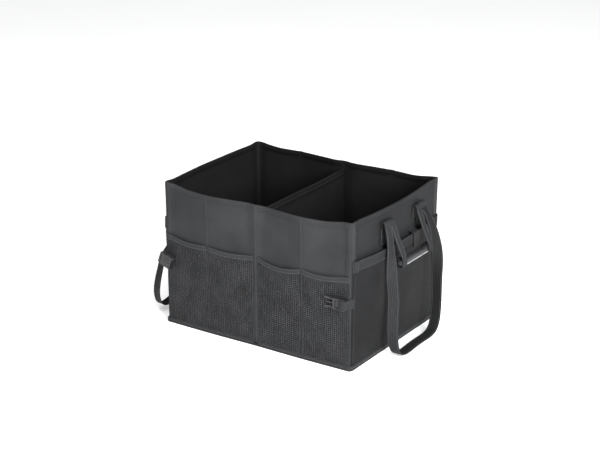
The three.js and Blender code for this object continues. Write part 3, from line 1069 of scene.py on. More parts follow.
@dataclass
class FoldSeam:
    """The pinched seams where two panels of a long wall fold against each other."""

    shape: CrateShape
    dress: Wardrobe
    place: Place
    side: Side
    reach: float = 5.5
    proud: float = 0.3
    ridge: float = 0.8
    ridge_reach: float = 1.3
    pocket_ridge: float = 1.5

    def strip(self, name: str, us: Sequence[float], crest: float) -> Mould:
        """A strip over both faces of the wall, with a ridge along its crest."""
        shape = self.shape
        # The third finish, the lighter seam copy, paints a highlight on the crest.
        mould = Mould(name, self.dress.woven, self.dress.lining, self.dress.seam)
        pocket_top = Room.of("front_inner_left_pocket").high.z

        def spot(u: float, v: float, w: float) -> Vector:
            """A point of the strip at u across, v up and w through it."""
            near = max(0.0, 1.0 - abs(u - crest) / self.ridge_reach)
            ridge = self.ridge
            if self.place is Place.FRONT and crest > 0.0:
                ridge += self.pocket_ridge * smooth((pocket_top - v) / 8.0)
            outer = shape.half_depth + self.proud + ridge * near
            inner = shape.half_depth - shape.wall - self.proud
            return shape.warp(self.side.sign * u, self.place.sign * between(inner, outer, w), v)

        mould.strip(spot, us, shape.seam_levels(), crest, 0.6)
        return mould

    def build(self) -> None:
        """Makes the quarter seam and this half of the centre seam."""
        shape, sign, end = self.shape, self.side.sign, self.place.sign
        stem = f"{self.place.value}_{{}}_{self.side.value}"
        half = (0.0, 0.7, 1.6, 3.2, self.reach)
        across = [shape.quarter - step for step in half[:0:-1]] + [shape.quarter + step for step in half]
        quarter = self.strip(f"{self.place.value}_quarter_seam_{self.side.value}", across, shape.quarter)
        piece = quarter.loose(Slot.WOVEN)
        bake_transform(piece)
        us = [0.0, 0.7, 1.6, 3.2, 5.0, 7.0, 9.0, 11.5]
        centre = self.strip(f"{self.place.value}_centre_seam_{self.side.value}", us, 0.0)
        piece = centre.loose(Slot.LINING)
        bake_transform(piece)


@dataclass
class CornerSeam:
    """The upright seam round one corner of the crate."""

    shape: CrateShape
    dress: Wardrobe
    place: Place
    side: Side
    proud: float = 0.35
    ridge: float = 1.1
    ridge_reach: float = 1.7

    def build(self) -> None:
        """Makes the corner, which stays without a body at the front and rides on the side wall at the back.
        """
        shape, side, place = self.shape, self.side, self.place
        front = place is Place.FRONT
        first = -16.0 if front else -5.0
        runs = steps(first, -2.0, 2.0) + [-0.8, 0.0, 0.8] + steps(2.0, 16.0, 2.0)
        # The third finish, the lighter seam copy, paints a highlight on the corner's crest.
        mould = Mould(
            f"{place.value}_corner_seam_{side.value}", self.dress.woven, self.dress.lining, self.dress.seam
        )

        def spot(run: float, v: float, w: float) -> Vector:
            """A point of the corner at run past it, v up and w through it."""
            near = max(0.0, 1.0 - abs(run) / self.ridge_reach)
            out = between(-shape.wall - self.proud, self.proud + self.ridge * near, w)
            return shape.edge(place, side, run, out, v)

        mould.strip(spot, runs, shape.seam_levels(), 0.0, 1.0)
        if not front:
            mould.made(f"side_{side.value}", Slot.WOVEN)
            return
        piece = mould.loose(Slot.WOVEN)
        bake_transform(piece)


@dataclass
class MeshPocket:
    """A flat mesh pocket on a front panel, with a folded binding round its mouth."""

    panel: LongPanel
    droop: float
    binding_height: float = 12.0
    skin: float = 0.8
    fullness: float = 4.6
    cell: float = 5.0
    reach_quarter: float = 0.8
    reach_end: float = 4.2
    low: float = field(init=False)
    mouth: float = field(init=False)
    near: float = field(init=False)
    far: float = field(init=False)

    def __post_init__(self) -> None:
        """Reads the pocket's room from the frame."""
        room = Room.of(f"{self.panel.name}_pocket")
        near, far = room.reach(0)
        inner = self.panel.part is Part.INNER
        self.near = near - (self.reach_end if inner else self.reach_quarter)
        self.far = far + (self.reach_quarter if inner else self.reach_end)
        self.low, self.mouth = room.low.z + 0.4, room.high.z

    def out(self, share: float, level: float) -> float:
        """How far the mesh stands off the wall."""
        full = max(0.0, math.sin(math.pi * min(max(share, 0.0), 1.0))) ** 0.7
        return 0.7 + self.fullness * full * (0.3 + 0.7 * smooth(level))

    def drop(self, share: float, level: float) -> float:
        """How far the mouth hangs between its seams."""
        full = max(0.0, math.sin(math.pi * min(max(share, 0.0), 1.0)))
        return self.droop * full * level**4

    def place(self, u: float, v: float, lift: float) -> Vector:
        """A point of the pocket at u across and v up, lifted off the mesh."""
        shape, panel = self.panel.shape, self.panel
        share = (u - self.near) / (self.far - self.near)
        level = (v - self.low) / (self.mouth - self.low)
        y = shape.half_depth + self.out(share, level) + lift
        return shape.warp(panel.side.sign * u, -y, v - self.drop(share, level))

    def build(self) -> None:
        """Makes the mesh and its binding."""
        panel, dress = self.panel, self.panel.dress
        us = steps(self.near, self.far, self.cell)
        net = Mould(f"{panel.name}_net", dress.netting, dress.thread)
        net.slab(
            lambda u, v, w: self.place(u, v, w * self.skin),
            us,
            steps(self.low, self.mouth - 3.0, self.cell),
            0.2,
        )
        piece = net.made(panel.name, Slot.MESH, (f"{panel.name}_pocket",))
        top = self.mouth
        tape = Mould(f"{panel.name}_net_binding", dress.binding, dress.thread)
        tape.slab(
            lambda u, v, w: self.place(u, v, between(-0.5, self.skin + 0.7, w)),
            us,
            steps(top - self.binding_height, top, 4.0),
            0.35,
        )
        for drop in (self.binding_height - 1.8, 1.6):
            tape.stitches(
                lambda u, drop=drop: (self.place(u, top - drop, self.skin + 0.75), Vector((0.0, -1.0, 0.1))),
                self.near + 1.0,
                self.far - 1.0,
                1,
            )
        band = tape.made(panel.name, Slot.BINDING)
        panel.flatten(piece)
        panel.flatten(band)
        f"{panel.name}_sleeve"


# ---- Side walls ----


@dataclass
class SideWall:
    """A side wall: its board sleeve, rim hem and bound foot."""

    shape: CrateShape
    dress: Wardrobe
    side: Side
    cell: float = 7.0
    corner: float = 13.0

    @property
    def name(self) -> str:
        """The wall's name, which is also its body's."""
        return f"side_{self.side.value}"

    def spot(self, u: float, v: float, w: float) -> Vector:
        """A point of the wall at u along Y, v up and w through it."""
        thick = self.shape.wall
        x = self.shape.half_width - thick + self.shape.hemmed(v, w) * thick
        return self.shape.warp(self.side.sign * x, u, v)

    def on(self, y: float, z: float, out: float) -> Vector:
        """A point off the wall's face, in metres."""
        return self.shape.warp(self.side.sign * (self.shape.half_width + out), y, z)

    def outward(self) -> Vector:
        """The direction away from the wall."""
        return Vector((self.side.sign, 0.0, 0.1))

    def build(self) -> None:
        """Makes the sleeve and the binding at its foot."""
        shape = self.shape
        edge = shape.half_depth - self.corner
        us = steps(-edge, edge, self.cell)
        vs = shape.sleeve_levels(self.cell)
        # The sleeve takes the darker side copy of the oxford, which paints the side wall's shade.
        mould = Mould(f"{self.name}_sleeve", self.dress.side_woven, self.dress.lining, self.dress.dark_thread)
        mould.slab(self.spot, us, vs, finishes=(0, 1))
        for drop in (9.0, 2.6):
            mould.stitches(
                lambda y, drop=drop: (
                    self.spot(y, shape.height - drop, 1.0), self.outward()
                ), -edge + 2.0, edge - 2.0, 2
            )
        mould.made(self.name, Slot.WOVEN, (f"{self.name}_cover", f"{self.name}_board"))
        lip = Room.of(f"{self.name}_lip")
        EdgeBinding(shape, self.dress, lip.high.z - lip.low.z, lip.low.z).along_side(self.side)


@dataclass
class BellowsPocket:
    """The pocket on a side wall, with pleated ends, a hem and a closing tab."""

    wall: SideWall
    skin: float = 1.0
    pleat: float = 13.0
    edge: float = field(init=False)
    low: float = field(init=False)
    mouth: float = field(init=False)
    depth: float = field(init=False)

    def __post_init__(self) -> None:
        """Reads the pocket's room from the frame."""
        room = Room.of(f"{self.wall.name}_pocket")
        self.edge = room.high.y
        self.low, self.mouth = room.low.z, room.high.z
        self.depth = room.reach(0)[1] - self.wall.shape.half_width

    def fill(self, v: float) -> float:
        """How far the pocket opens at a height, from 0 to 1."""
        return 0.25 + 0.75 * smooth((v - self.low) / (self.mouth - self.low) * 0.9 + 0.1)

    def face_out(self, y: float, z: float) -> float:
        """How far the pocket's face stands off the wall."""
        across = 1.0 - (abs(y) / self.edge) ** 4
        slack = noise.noise(Vector((y / 60.0, z / 90.0, 4.0))) * 1.2
        return self.depth * self.fill(z) * (0.15 + 0.85 * across) + slack * across

    def path(self) -> list[tuple[float, float]]:
        """The pocket's plan from one end to the other, as (y, share of depth) points."""
        e, p = self.edge, self.pleat
        start = [
            (-e - 3.0, 0.05),
            (-e - 1.5, 0.2),
            (-e + p * 0.1, 0.34),
            (-e + p * 0.3, 0.46),
            (-e + p * 0.62, 0.5),
        ]
        start += [
            (-e + p * 0.36, 0.6),
            (-e + p * 0.3, 0.74),
            (-e + p * 0.5, 0.88),
            (-e + p * 0.8, 0.97),
            (-e + p, 1.0),
        ]
        middle = [(y, 1.0) for y in steps(-e + p + 5.0, e - p - 5.0, 8.0)]
        return start + middle + [(-y, share) for y, share in reversed(start)]

    def build(self) -> None:
        """Makes the bag, the hem and the tab."""
        self.bag()
        self.band()
        self.tab()
        self.corner_tabs()

    def bag(self) -> None:
        """The pleated fabric bag."""
        wall = self.wall
        # The bag takes the darkest copy of the oxford, which paints the shade on the side pocket.
        mould = Mould(
            f"{wall.name}_bellows", wall.dress.shaded_pocket_woven, wall.dress.dark_thread, wall.dress.lining
        )
        path = self.path()
        shares = list(range(len(path)))

        def spot(u: float, v: float, w: float) -> Vector:
            """A point of the bag at step u along its plan, v up and w through the cloth."""
            at = min(max(u, 0.0), len(path) - 1.0)
            first = min(int(at), len(path) - 2)
            part = at - first
            (y0, s0), (y1, s1) = path[first], path[first + 1]
            y, share = between(y0, y1, part), between(s0, s1, part)
            span = math.hypot(y1 - y0, (s1 - s0) * self.depth) or 1.0
            normal_y = -(s1 - s0) * self.depth / span
            normal_out = (y1 - y0) / span
            lift = (w - 0.5) * self.skin
            out = 0.5 + self.face_out(y, v) * share
            return wall.on(y + normal_y * lift, v, max(out + normal_out * lift, 0.1))

        mould.slab(spot, shares, steps(self.low, self.mouth - 1.0, 8.0), 0.0)
        for end in (-1, 1):
            y = end * (self.edge - 5.0)
            mould.stitches(
                lambda z, y=y: (wall.on(y, z, self.face_out(y, z) + 1.0), wall.outward()),
                self.low + 6.0,
                self.mouth - 30.0,
                1,
            )
        piece = mould.made(wall.name, Slot.WOVEN, (f"{wall.name}_pocket",))
        for (y0, s0), (y1, s1) in zip(path, path[1:]):
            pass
        f"{wall.name}_sleeve"

    def band(self) -> None:
        """The hem along the pocket's mouth."""
        wall = self.wall
        room = Room.of(f"{wall.name}_pocket_hem")
        # The hem takes the darker side copy of the tape: painted shade.
        mould = Mould(f"{wall.name}_bellows_hem", wall.dress.shaded_side_tape, wall.dress.dark_thread)

        def spot(u: float, v: float, w: float) -> Vector:
            """A point of the hem at u along Y, v up and w through it."""
            return wall.on(u, v, 0.5 + self.face_out(u, v) + between(-0.7, 1.4, w))

        edge = self.edge - 1.0
        mould.slab(spot, steps(-edge, edge, 7.0), steps(room.low.z, room.high.z + 0.4, 4.0), 0.4)
        for height in (room.low.z + 1.8, room.low.z + 4.4, room.high.z - 1.8):
            mould.stitches(lambda y, z=height: (spot(y, z, 1.02), wall.outward()), -edge + 2.0, edge - 2.0, 1)
        mould.made(wall.name, Slot.BINDING, (f"{wall.name}_pocket_hem",))

    def tab(self) -> None:
        """The tab that closes the pocket's mouth."""
        wall = self.wall
        room = Room.of(f"{wall.name}_pocket_tab")
        y0, y1 = room.low.y, room.high.y
        top, low = room.high.z, room.low.z
        route = [(0.8, top + 6.0), (2.0, top + 2.0), (7.0, top + 0.6)]
        route += [
            (self.depth + 2.6, top - 0.6), (self.depth + 3.6, top - 4.0), (self.depth + 3.9, top - 14.0)
        ]
        route += [(self.depth + 3.4, low)]
        line = through(route, 4)
        # The tab takes the darker side copy of the tape: painted shade.
        mould = Mould(f"{wall.name}_bellows_tab", wall.dress.shaded_side_tape, wall.dress.dark_thread)

        def spot(u: float, v: float, w: float) -> Vector:
            """A point of the tab at u along Y, step v down it and w through it."""
            at = min(max(v, 0.0), len(line) - 1.001)
            first = int(at)
            out0, z0 = line[first]
            out1, z1 = line[first + 1]
            span = math.hypot(out1 - out0, z1 - z0) or 1.0
            lift = (w - 0.5) * 1.2
            out = between(out0, out1, at - first) - (z1 - z0) / span * lift
            z = between(z0, z1, at - first) + (out1 - out0) / span * lift
            nose = max(0.0, at / (len(line) - 1) - 0.86) * 28.0
            middle = (y0 + y1) / 2.0
            return wall.on(middle + (u - middle) * (1.0 - nose / 12.0), z, max(out, 0.3))

        mould.slab(spot, steps(y0, y1, 3.0), list(range(len(line))), 0.2)
        last = len(line) - 1.0
        for inset in (2.2, y1 - y0 - 2.2):
            mould.stitches(
                lambda v, u=y0 + inset: (spot(u, v / 3.0, 1.0), wall.outward()),
                last * 3.0 * 0.45,
                last * 3.0 * 0.97,
                1,
                3.0,
            )
        mould.made(wall.name, Slot.BINDING, (f"{wall.name}_pocket_tab",))

    def corner_tabs(self) -> None:
        """The sewn patches that hold the mouth's ends to the wall."""
        wall = self.wall
        # The patches take the darker side copy of the tape: painted shade.
        mould = Mould(f"{wall.name}_bellows_patches", wall.dress.shaded_side_tape, wall.dress.dark_thread)
        for end in (-1, 1):
            y0, y1 = end * (self.edge + 2.5), end * (self.edge - 15.0)

            def spot(u: float, v: float, w: float) -> Vector:
                """A point of the patch at u along Y, v up and w through it."""
                reach = smooth((self.edge + 2.5 - abs(u)) / 9.0)
                out = between(0.9, self.face_out(u, v) + 2.1, reach)
                return wall.on(u, v, out + w * 1.1)

            top = self.mouth + 1.0
            mould.slab(spot, steps(y0, y1, 2.5), steps(top - 26.0, top, 4.0), 0.3)
            for inset in (3.0, 6.0, 12.0, 15.0):
                mould.stitches(
                    lambda z, y=y0 - end * inset, spot=spot: (
                        spot(y, z, 1.03), wall.outward()
                    ), top - 24.0, top - 2.0, 1, 2.6
                )
        mould.made(wall.name, Slot.BINDING)


# ---- Handles ----


class Ribbon:
    """A flat strap along a line, with its own width direction at each place."""

    def __init__(self, rows: Sequence[Sequence[float]], width: float, thick: float, fine: int = 8) -> None:
        """Lays the strap out.

        Args:
            rows: Places (x, y, z) in millimetres and the turn of the width from Y to X in degrees.
            width: Width of the strap.
            thick: Its thickness.
            fine: Steps between two rows.
        """
        self.width = width
        self.thick = thick
        line = through(rows, fine)
        self.points = [Vector(row[:3]) for row in line]
        self.turns = [math.radians(row[3]) for row in line]
        self.runs = [0.0]
        for a, b in zip(self.points, self.points[1:]):
            self.runs.append(self.runs[-1] + (b - a).length)

    @property
    def length(self) -> float:
        """The strap's length in millimetres."""
        return self.runs[-1]

    def frame(self, run: float) -> tuple[Vector, Vector, Vector]:
        """The middle, width direction and outward direction at a running length."""
        held = min(max(run, 0.0), self.length - 1e-4)
        i = max(n for n, at in enumerate(self.runs[:-1]) if at <= held)
        share = (held - self.runs[i]) / max(self.runs[i + 1] - self.runs[i], 1e-6)
        point = self.points[i].lerp(self.points[i + 1], share)
        before = self.points[max(i - 1, 0)]
        after = self.points[min(i + 2, len(self.points) - 1)]
        along = (after - before).normalized()
        turn = between(self.turns[i], self.turns[i + 1], share)
        width = Vector((math.sin(turn), math.cos(turn), 0.0))
        width = (width - along * width.dot(along)).normalized()
        return point, width, along.cross(width)

    def spot(self, u: float, v: float, w: float) -> Vector:
        """A point u off the middle line, at length v and w through the strap, in metres."""
        point, width, normal = self.frame(v)
        share = abs(u) / (self.width / 2.0)
        edge = 1.0 - 0.35 * max(0.0, share - 0.85) / 0.15
        rib = 1.0 + 0.1 * math.cos(u * math.tau / (self.width / 5.0))
        return (point + width * u + normal * (w - 0.5) * self.thick * edge * rib) * MM

    def sew(self, mould: Mould, pace: float = 6.0, finishes: tuple[int, int] = (0, 1)) -> None:
        """Adds the strap to a piece."""
        half = self.width / 2.0
        us = steps(-half, half, self.width / 14.0)
        mould.slab(self.spot, us, steps(0.0, self.length, pace), 0.25, finishes)

    def edge_rows(self, mould: Mould, start: float, end: float, finish: int, inset: float = 2.5) -> None:
        """Sews a row of stitches along both edges of the strap, on both faces."""
        for u in (-self.width / 2.0 + inset, self.width / 2.0 - inset):
            for face, way in ((1.0, 1.0), (0.0, -1.0)):
                mould.stitches(
                    lambda run, u=u, face=face, way=way: (self.spot(u, run, face), self.frame(run)[2] * way),
                    start,
                    end,
                    finish,
                    3.8,
                )


LoopRow = tuple[float, float, float, float]


@dataclass(frozen=True)
class LoopLine:
    """The way a long strap hangs: rows of its stand-off, place along Y, height and turn."""

    front: tuple[LoopRow, ...]
    under: tuple[LoopRow, ...]
    rear: tuple[LoopRow, ...]

    def rows(self, out: float, front: float, rear: float) -> list[LoopRow]:
        """The rows with the hinge's stand-off and each leg's place along Y added."""
        legs = ((self.front, front), (self.under, 0.0), (self.rear, rear))
        return [(out + x, start + y, z, turn) for leg, start in legs for x, y, z, turn in leg]


RIGHT_LOOP = LoopLine(
    front=(
        (5.0, 0.0, 274.0, 2.0), (8.0, 0.0, 244.0, 8.0), (11.0, -1.0, 215.0, 30.0),
        (13.0, -2.0, 190.0, 50.0), (15.0, -2.0, 165.0, 58.0), (17.0, 0.0, 134.0, 60.0),
        (20.0, -6.0, 98.0, 62.0), (24.0, -13.0, 62.0, 70.0), (27.0, -13.0, 34.0, 84.0),
        (30.0, -4.0, 12.0, 90.0), (32.0, 18.0, 5.5, 90.0),
    ),
    under=(
        (34.0, 0.0, 9.0, 90.0), (36.0, 28.0, 11.0, 90.0),
    ),
    rear=(
        (38.0, -36.0, 13.0, 90.0), (39.0, -16.0, 21.0, 90.0), (39.0, -4.0, 42.0, 90.0),
        (39.0, 0.0, 70.0, 90.0), (39.0, 1.0, 100.0, 90.0), (38.0, 2.0, 135.0, 86.0),
        (38.0, 2.0, 170.0, 72.0), (36.0, 2.0, 199.0, 50.0), (31.0, 2.0, 228.0, 26.0),
        (23.0, 1.0, 256.0, 10.0), (11.0, 0.0, 282.0, 0.0),
    ),
)

LEFT_LOOP = LoopLine(
    front=(
        (7.0, -7.0, 270.0, 2.0), (13.0, -15.0, 240.0, 6.0), (18.0, -24.0, 212.0, 16.0),
        (23.0, -34.0, 186.0, 34.0), (28.0, -46.0, 160.0, 48.0), (35.0, -66.0, 130.0, 62.0),
        (36.0, -79.0, 100.0, 66.0), (38.0, -87.0, 70.0, 70.0), (38.0, -90.0, 44.0, 72.0),
        (36.0, -84.0, 22.0, 76.0), (36.0, -64.0, 12.5, 84.0), (30.0, -36.0, 22.0, 90.0),
        (28.0, -14.0, 36.0, 90.0),
    ),
    under=(
        (28.0, -30.0, 56.0, 90.0), (28.0, 15.0, 74.0, 90.0),
    ),
    rear=(
        (28.0, -34.0, 91.0, 90.0), (28.0, -12.0, 103.0, 90.0), (28.0, -1.0, 122.0, 88.0),
        (27.0, 1.0, 150.0, 78.0), (24.0, 1.0, 180.0, 46.0), (18.0, 1.0, 214.0, 14.0),
        (11.0, 0.0, 248.0, 4.0), (5.0, 0.0, 278.0, 0.0),
    ),
)


@dataclass
class Handles:
    """The long carrying loop and the short handle of one side."""

    wall: SideWall
    webbing: float = 2.2
    strap_width: float = 25.0
    short_width: float = 18.0
    sewn_low: float = 255.0
    short_low: float = 276.0
    spacing: float = 153.0
    short_spacing: float = 112.0
    sewn_top: float = 294.0
    sewn_middle: float = 276.0
    loop_gap: float = 1.2

    @property
    def side(self) -> Side:
        """The side that the handles hang on."""
        return self.wall.side

    def middle(self) -> float:
        """The handles' middle along Y."""
        room = Room.of(f"grip_{self.side.value}")
        return (room.low.y + room.high.y) / 2.0

    def strap_places(self) -> tuple[float, float]:
        """Places of the long strap's front and rear legs along Y."""
        return self.middle() - self.spacing / 2.0, self.middle() + self.spacing / 2.0

    def webbing_mould(self, name: str) -> Mould:
        """A piece of webbing, with a darker copy of the webbing on its back as painted shade, and its thread.
        """
        dress = self.wall.dress
        return Mould(name, dress.webbing, dress.shaded_webbing_back, dress.thread)

    def hinge(self) -> tuple[float, float]:
        """The hinge's distance from the middle and its height."""
        room = Room.of(f"strap_anchor_front_{self.side.value}")
        return room.reach(0)[1] + 1.7, room.high.z

    def face(self, y: float, z: float) -> float:
        """The wall face's true distance from the middle, in millimetres."""
        return abs(self.wall.on(y, z, 0.0).x) / MM

    def mirrored(self, rows: Sequence[Sequence[float]]) -> list[tuple[float, ...]]:
        """Rows given for the right side, placed on this side."""
        sign = self.side.sign
        return [(sign * x, y, z, sign * turn) for x, y, z, turn in rows]

    def build(self) -> None:
        """Makes the anchors, the loop, the short strap and the grip."""
        for place in Place:
            self.anchor(place)
        self.long_loop()
        self.short_handle()
        self.grip()

    def anchor(self, place: Place) -> None:
        """The sewn end of both straps and the arch that leads over to the hinge."""
        name = f"strap_anchor_{place.value}_{self.side.value}"
        x_hinge, z_top = self.hinge()
        end = place.sign
        long_y = self.strap_places()[0 if place is Place.FRONT else 1]
        short_y = self.middle() + end * self.short_spacing / 2.0
        mould = self.webbing_mould(f"{name}_strap")
        for y, width, rise, low in (
            (long_y, self.strap_width, 2.0, self.sewn_low),
            (short_y, self.short_width, 0.0, self.short_low),
        ):
            base = self.face(y, self.sewn_middle)
            top = self.face(y, self.sewn_top)
            out = max(x_hinge, top + 8.0)
            rows = [
                (base + 1.6, y, low, 0.0),
                (base + 1.6, y, (low + self.sewn_top) / 2.0, 0.0),
                (top + 1.8, y, self.sewn_top, 0.0),
                (top + 3.4, y, z_top + 4.0 + rise, 0.0),
                ((top + out) / 2.0 + 1.0, y, z_top + 8.0 + rise, 0.0),
                (out - 0.6, y, z_top + 5.0 + rise, 0.0),
                (out + 1.2, y, z_top - 5.0, 0.0),
            ]
            strap = Ribbon(self.mirrored(rows), width, self.webbing, 6)
            strap.sew(mould, 3.0)
            strap.edge_rows(mould, 1.5, 36.0 if y == long_y else 16.0, 2)
        for level in (self.sewn_low + 3.0, self.sewn_low + 20.0, self.sewn_low + 36.0):
            base = self.face(long_y, level) + 2.9
            mould.stitches(
                lambda y, z=level, x=base: (metres(self.side.sign * x, y, z), self.wall.outward()),
                long_y - 10.0,
                long_y + 10.0,
                2,
                2.8,
            )
        mould.made(self.wall.name, Slot.WEBBING, (name,))

    def long_loop(self) -> None:
        """The long strap: flat at the top, edge-on where it hangs near the floor."""
        name = f"long_strap_{self.side.value}"
        x0, top = self.hinge()
        x0 += self.loop_gap
        front, rear = self.strap_places()
        loop = RIGHT_LOOP if self.side is Side.RIGHT else LEFT_LOOP
        rows = [(x0, front, top - 3.0, 0.0), *loop.rows(x0, front, rear), (x0, rear, top - 3.0, 0.0)]
        strap = Ribbon(self.mirrored(rows), self.strap_width, self.webbing, 7)
        mould = self.webbing_mould(f"{name}_webbing")
        # The swap keeps the darker webbing copy, painted shade, on the loop's inner face on both sides.
        strap.sew(mould, finishes=(0, 1) if self.side is Side.RIGHT else (1, 0))
        strap.edge_rows(mould, 2.0, strap.length - 2.0, 2)
        mould.made(f"long_handle_{self.side.value}", Slot.WEBBING, (name,))

    def short_handle(self) -> None:
        """The narrow strap that carries the grip."""
        name = f"short_strap_{self.side.value}"
        grip = Room.of(f"grip_{self.side.value}")
        x0, top = self.hinge()
        near, far = grip.reach(0)
        middle = (near + far) / 2.0
        mould = self.webbing_mould(f"{name}_webbing")
        level = grip.high.z + 1.6
        for end in (-1, 1):
            y = self.middle() + end * self.short_spacing / 2.0
            rows = [
                (x0 + self.loop_gap, y, top - 3.0, 0.0),
                (x0 + 7.0, y, 283.0, 0.0),
                (x0 + 15.0, y, 262.0, 0.0),
                (x0 + 24.0, y, 243.0, 0.0),
                (far + 1.4, y, level + 1.0, 0.0),
                (far + 1.8, y, grip.high.z - 6.0, 0.0),
                (far + 0.6, y, grip.low.z - 0.6, 0.0),
                (middle, y, grip.low.z - 1.6, 0.0),
                (near - 0.4, y, grip.low.z + 0.6, 0.0),
                (near - 1.4, y, grip.high.z - 6.0, 0.0),
                (near - 0.6, y, level - 0.6, 0.0),
                (middle, y, level + 0.4, 0.0),
            ]
            strap = Ribbon(self.mirrored(rows), self.short_width, self.webbing * 0.8, 5)
            strap.sew(mould, 3.0)
            strap.edge_rows(mould, 2.0, 74.0, 2, 2.0)
        mould.made(f"short_handle_{self.side.value}", Slot.WEBBING, (name,))

    def grip(self) -> None:
        """The stiff moulded grip bar, with a pale bead along its lower outer edge that paints a highlight."""
        name = f"grip_{self.side.value}"
        room = Room.of(name)
        near, far = room.reach(0)
        x_mid, z_mid = (near + far) / 2.0, (room.low.z + room.high.z) / 2.0
        half_x, half_z = (far - near) / 2.0, (room.high.z - room.low.z) / 2.0
        half = (room.high.y - room.low.y) / 2.0
        mould = Mould(f"{name}_bar", self.wall.dress.plastic, self.wall.dress.highlight_trim)
        places = [-half, -half + 0.6, -half + 2.0, -half + 4.5]
        places += steps(-half + 7.0, half - 7.0, 3.0) + [half - 4.5, half - 2.0, half - 0.6, half]
        count = 24
        rings = []
        for y in places:
            left = half - abs(y)
            girth = 0.72 + 0.28 * math.sqrt(min(left / 4.5, 1.0))
            flute = 1.0 - 0.035 * (0.5 + 0.5 * math.cos(y * math.tau / 9.0)) * smooth((left - 6.0) / 6.0)
            ring = []
            for i in range(count):
                angle = math.tau * (i + 0.5) / count
                cos, sin = math.cos(angle), math.sin(angle)
                power = 0.62
                x = math.copysign(abs(cos) ** power, cos) * half_x * girth * flute
                z = math.copysign(abs(sin) ** power, sin) * half_z * girth * flute
                ring.append(metres(self.side.sign * (x_mid + x), self.middle() + y, z_mid + z))
            rings.append(ring)
        mould.loft(rings, [2.0 * i for i in range(count + 1)], places)
        # The pale bead along the lower outer edge paints the grip's highlight there.
        highlight_bead = []
        for y in places[2:-2]:
            girth = 1.7 * min(1.0, 0.4 + (half - abs(y)) / 8.0)
            highlight_bead.append([
                metres(
                    self.side.sign * (x_mid + half_x * 0.8 + girth * math.cos(math.tau * i / 10)),
                    self.middle() + y,
                    z_mid - half_z * 0.84 + girth * math.sin(math.tau * i / 10),
                )
                for i in range(10)
            ])
        mould.loft(highlight_bead, [1.0 * i for i in range(11)], places[2:-2], [1] * 10)
        mould.made(f"short_handle_{self.side.value}", Slot.PLASTIC, (name,), 60.0)


# ---- Centre: divider and floor ----


@dataclass
class Divider:
    """The board sleeve between the two compartments."""

    shape: CrateShape
    dress: Wardrobe
    hem: float = 12.0

    def build(self) -> None:
        """Makes the divider and its hem."""
        board = Room.of("divider_board")
        cover = Room.of("divider_cover")
        top = board.high.z + 7.3
        end = cover.high.y - 4.3
        shape = self.shape
        mould = Mould("divider_sleeve", self.dress.lining, self.dress.dark_thread)

        def spot(u: float, v: float, w: float) -> Vector:
            """A point of the divider at u along Y, v up and w through it."""
            half = 2.0 + (0.45 if v > top - self.hem else 0.0)
            slack = noise.noise(Vector((u / 110.0, v / 120.0, 9.0))) * 1.6
            fade = smooth((end - abs(u)) / 30.0) * smooth((v - shape.foot) / 60.0)
            x = (w - 0.5) * 2.0 * half + slack * fade
            dip = 2.0 * (1.0 - (u / end) ** 2) * v / top
            return metres(x, u * (1.0 - shape.depth_taper / shape.half_depth * v / shape.height), v - dip)

        vs = steps(shape.foot, top - self.hem - 0.2, 9.0) + steps(top - self.hem + 0.2, top, 4.0)
        mould.slab(spot, steps(-end, end, 8.0), vs, 0.6)
        for face, way in ((1.0, 1.0), (0.0, -1.0)):
            mould.stitches(
                lambda y, face=face, way=way: (spot(y, top - self.hem + 2.5, face), Vector((way, 0.0, 0.0))),
                -end + 3.0,
                end - 3.0,
                1,
            )
        mould.made("centre", Slot.LINING, ("divider_cover", "divider_board"))


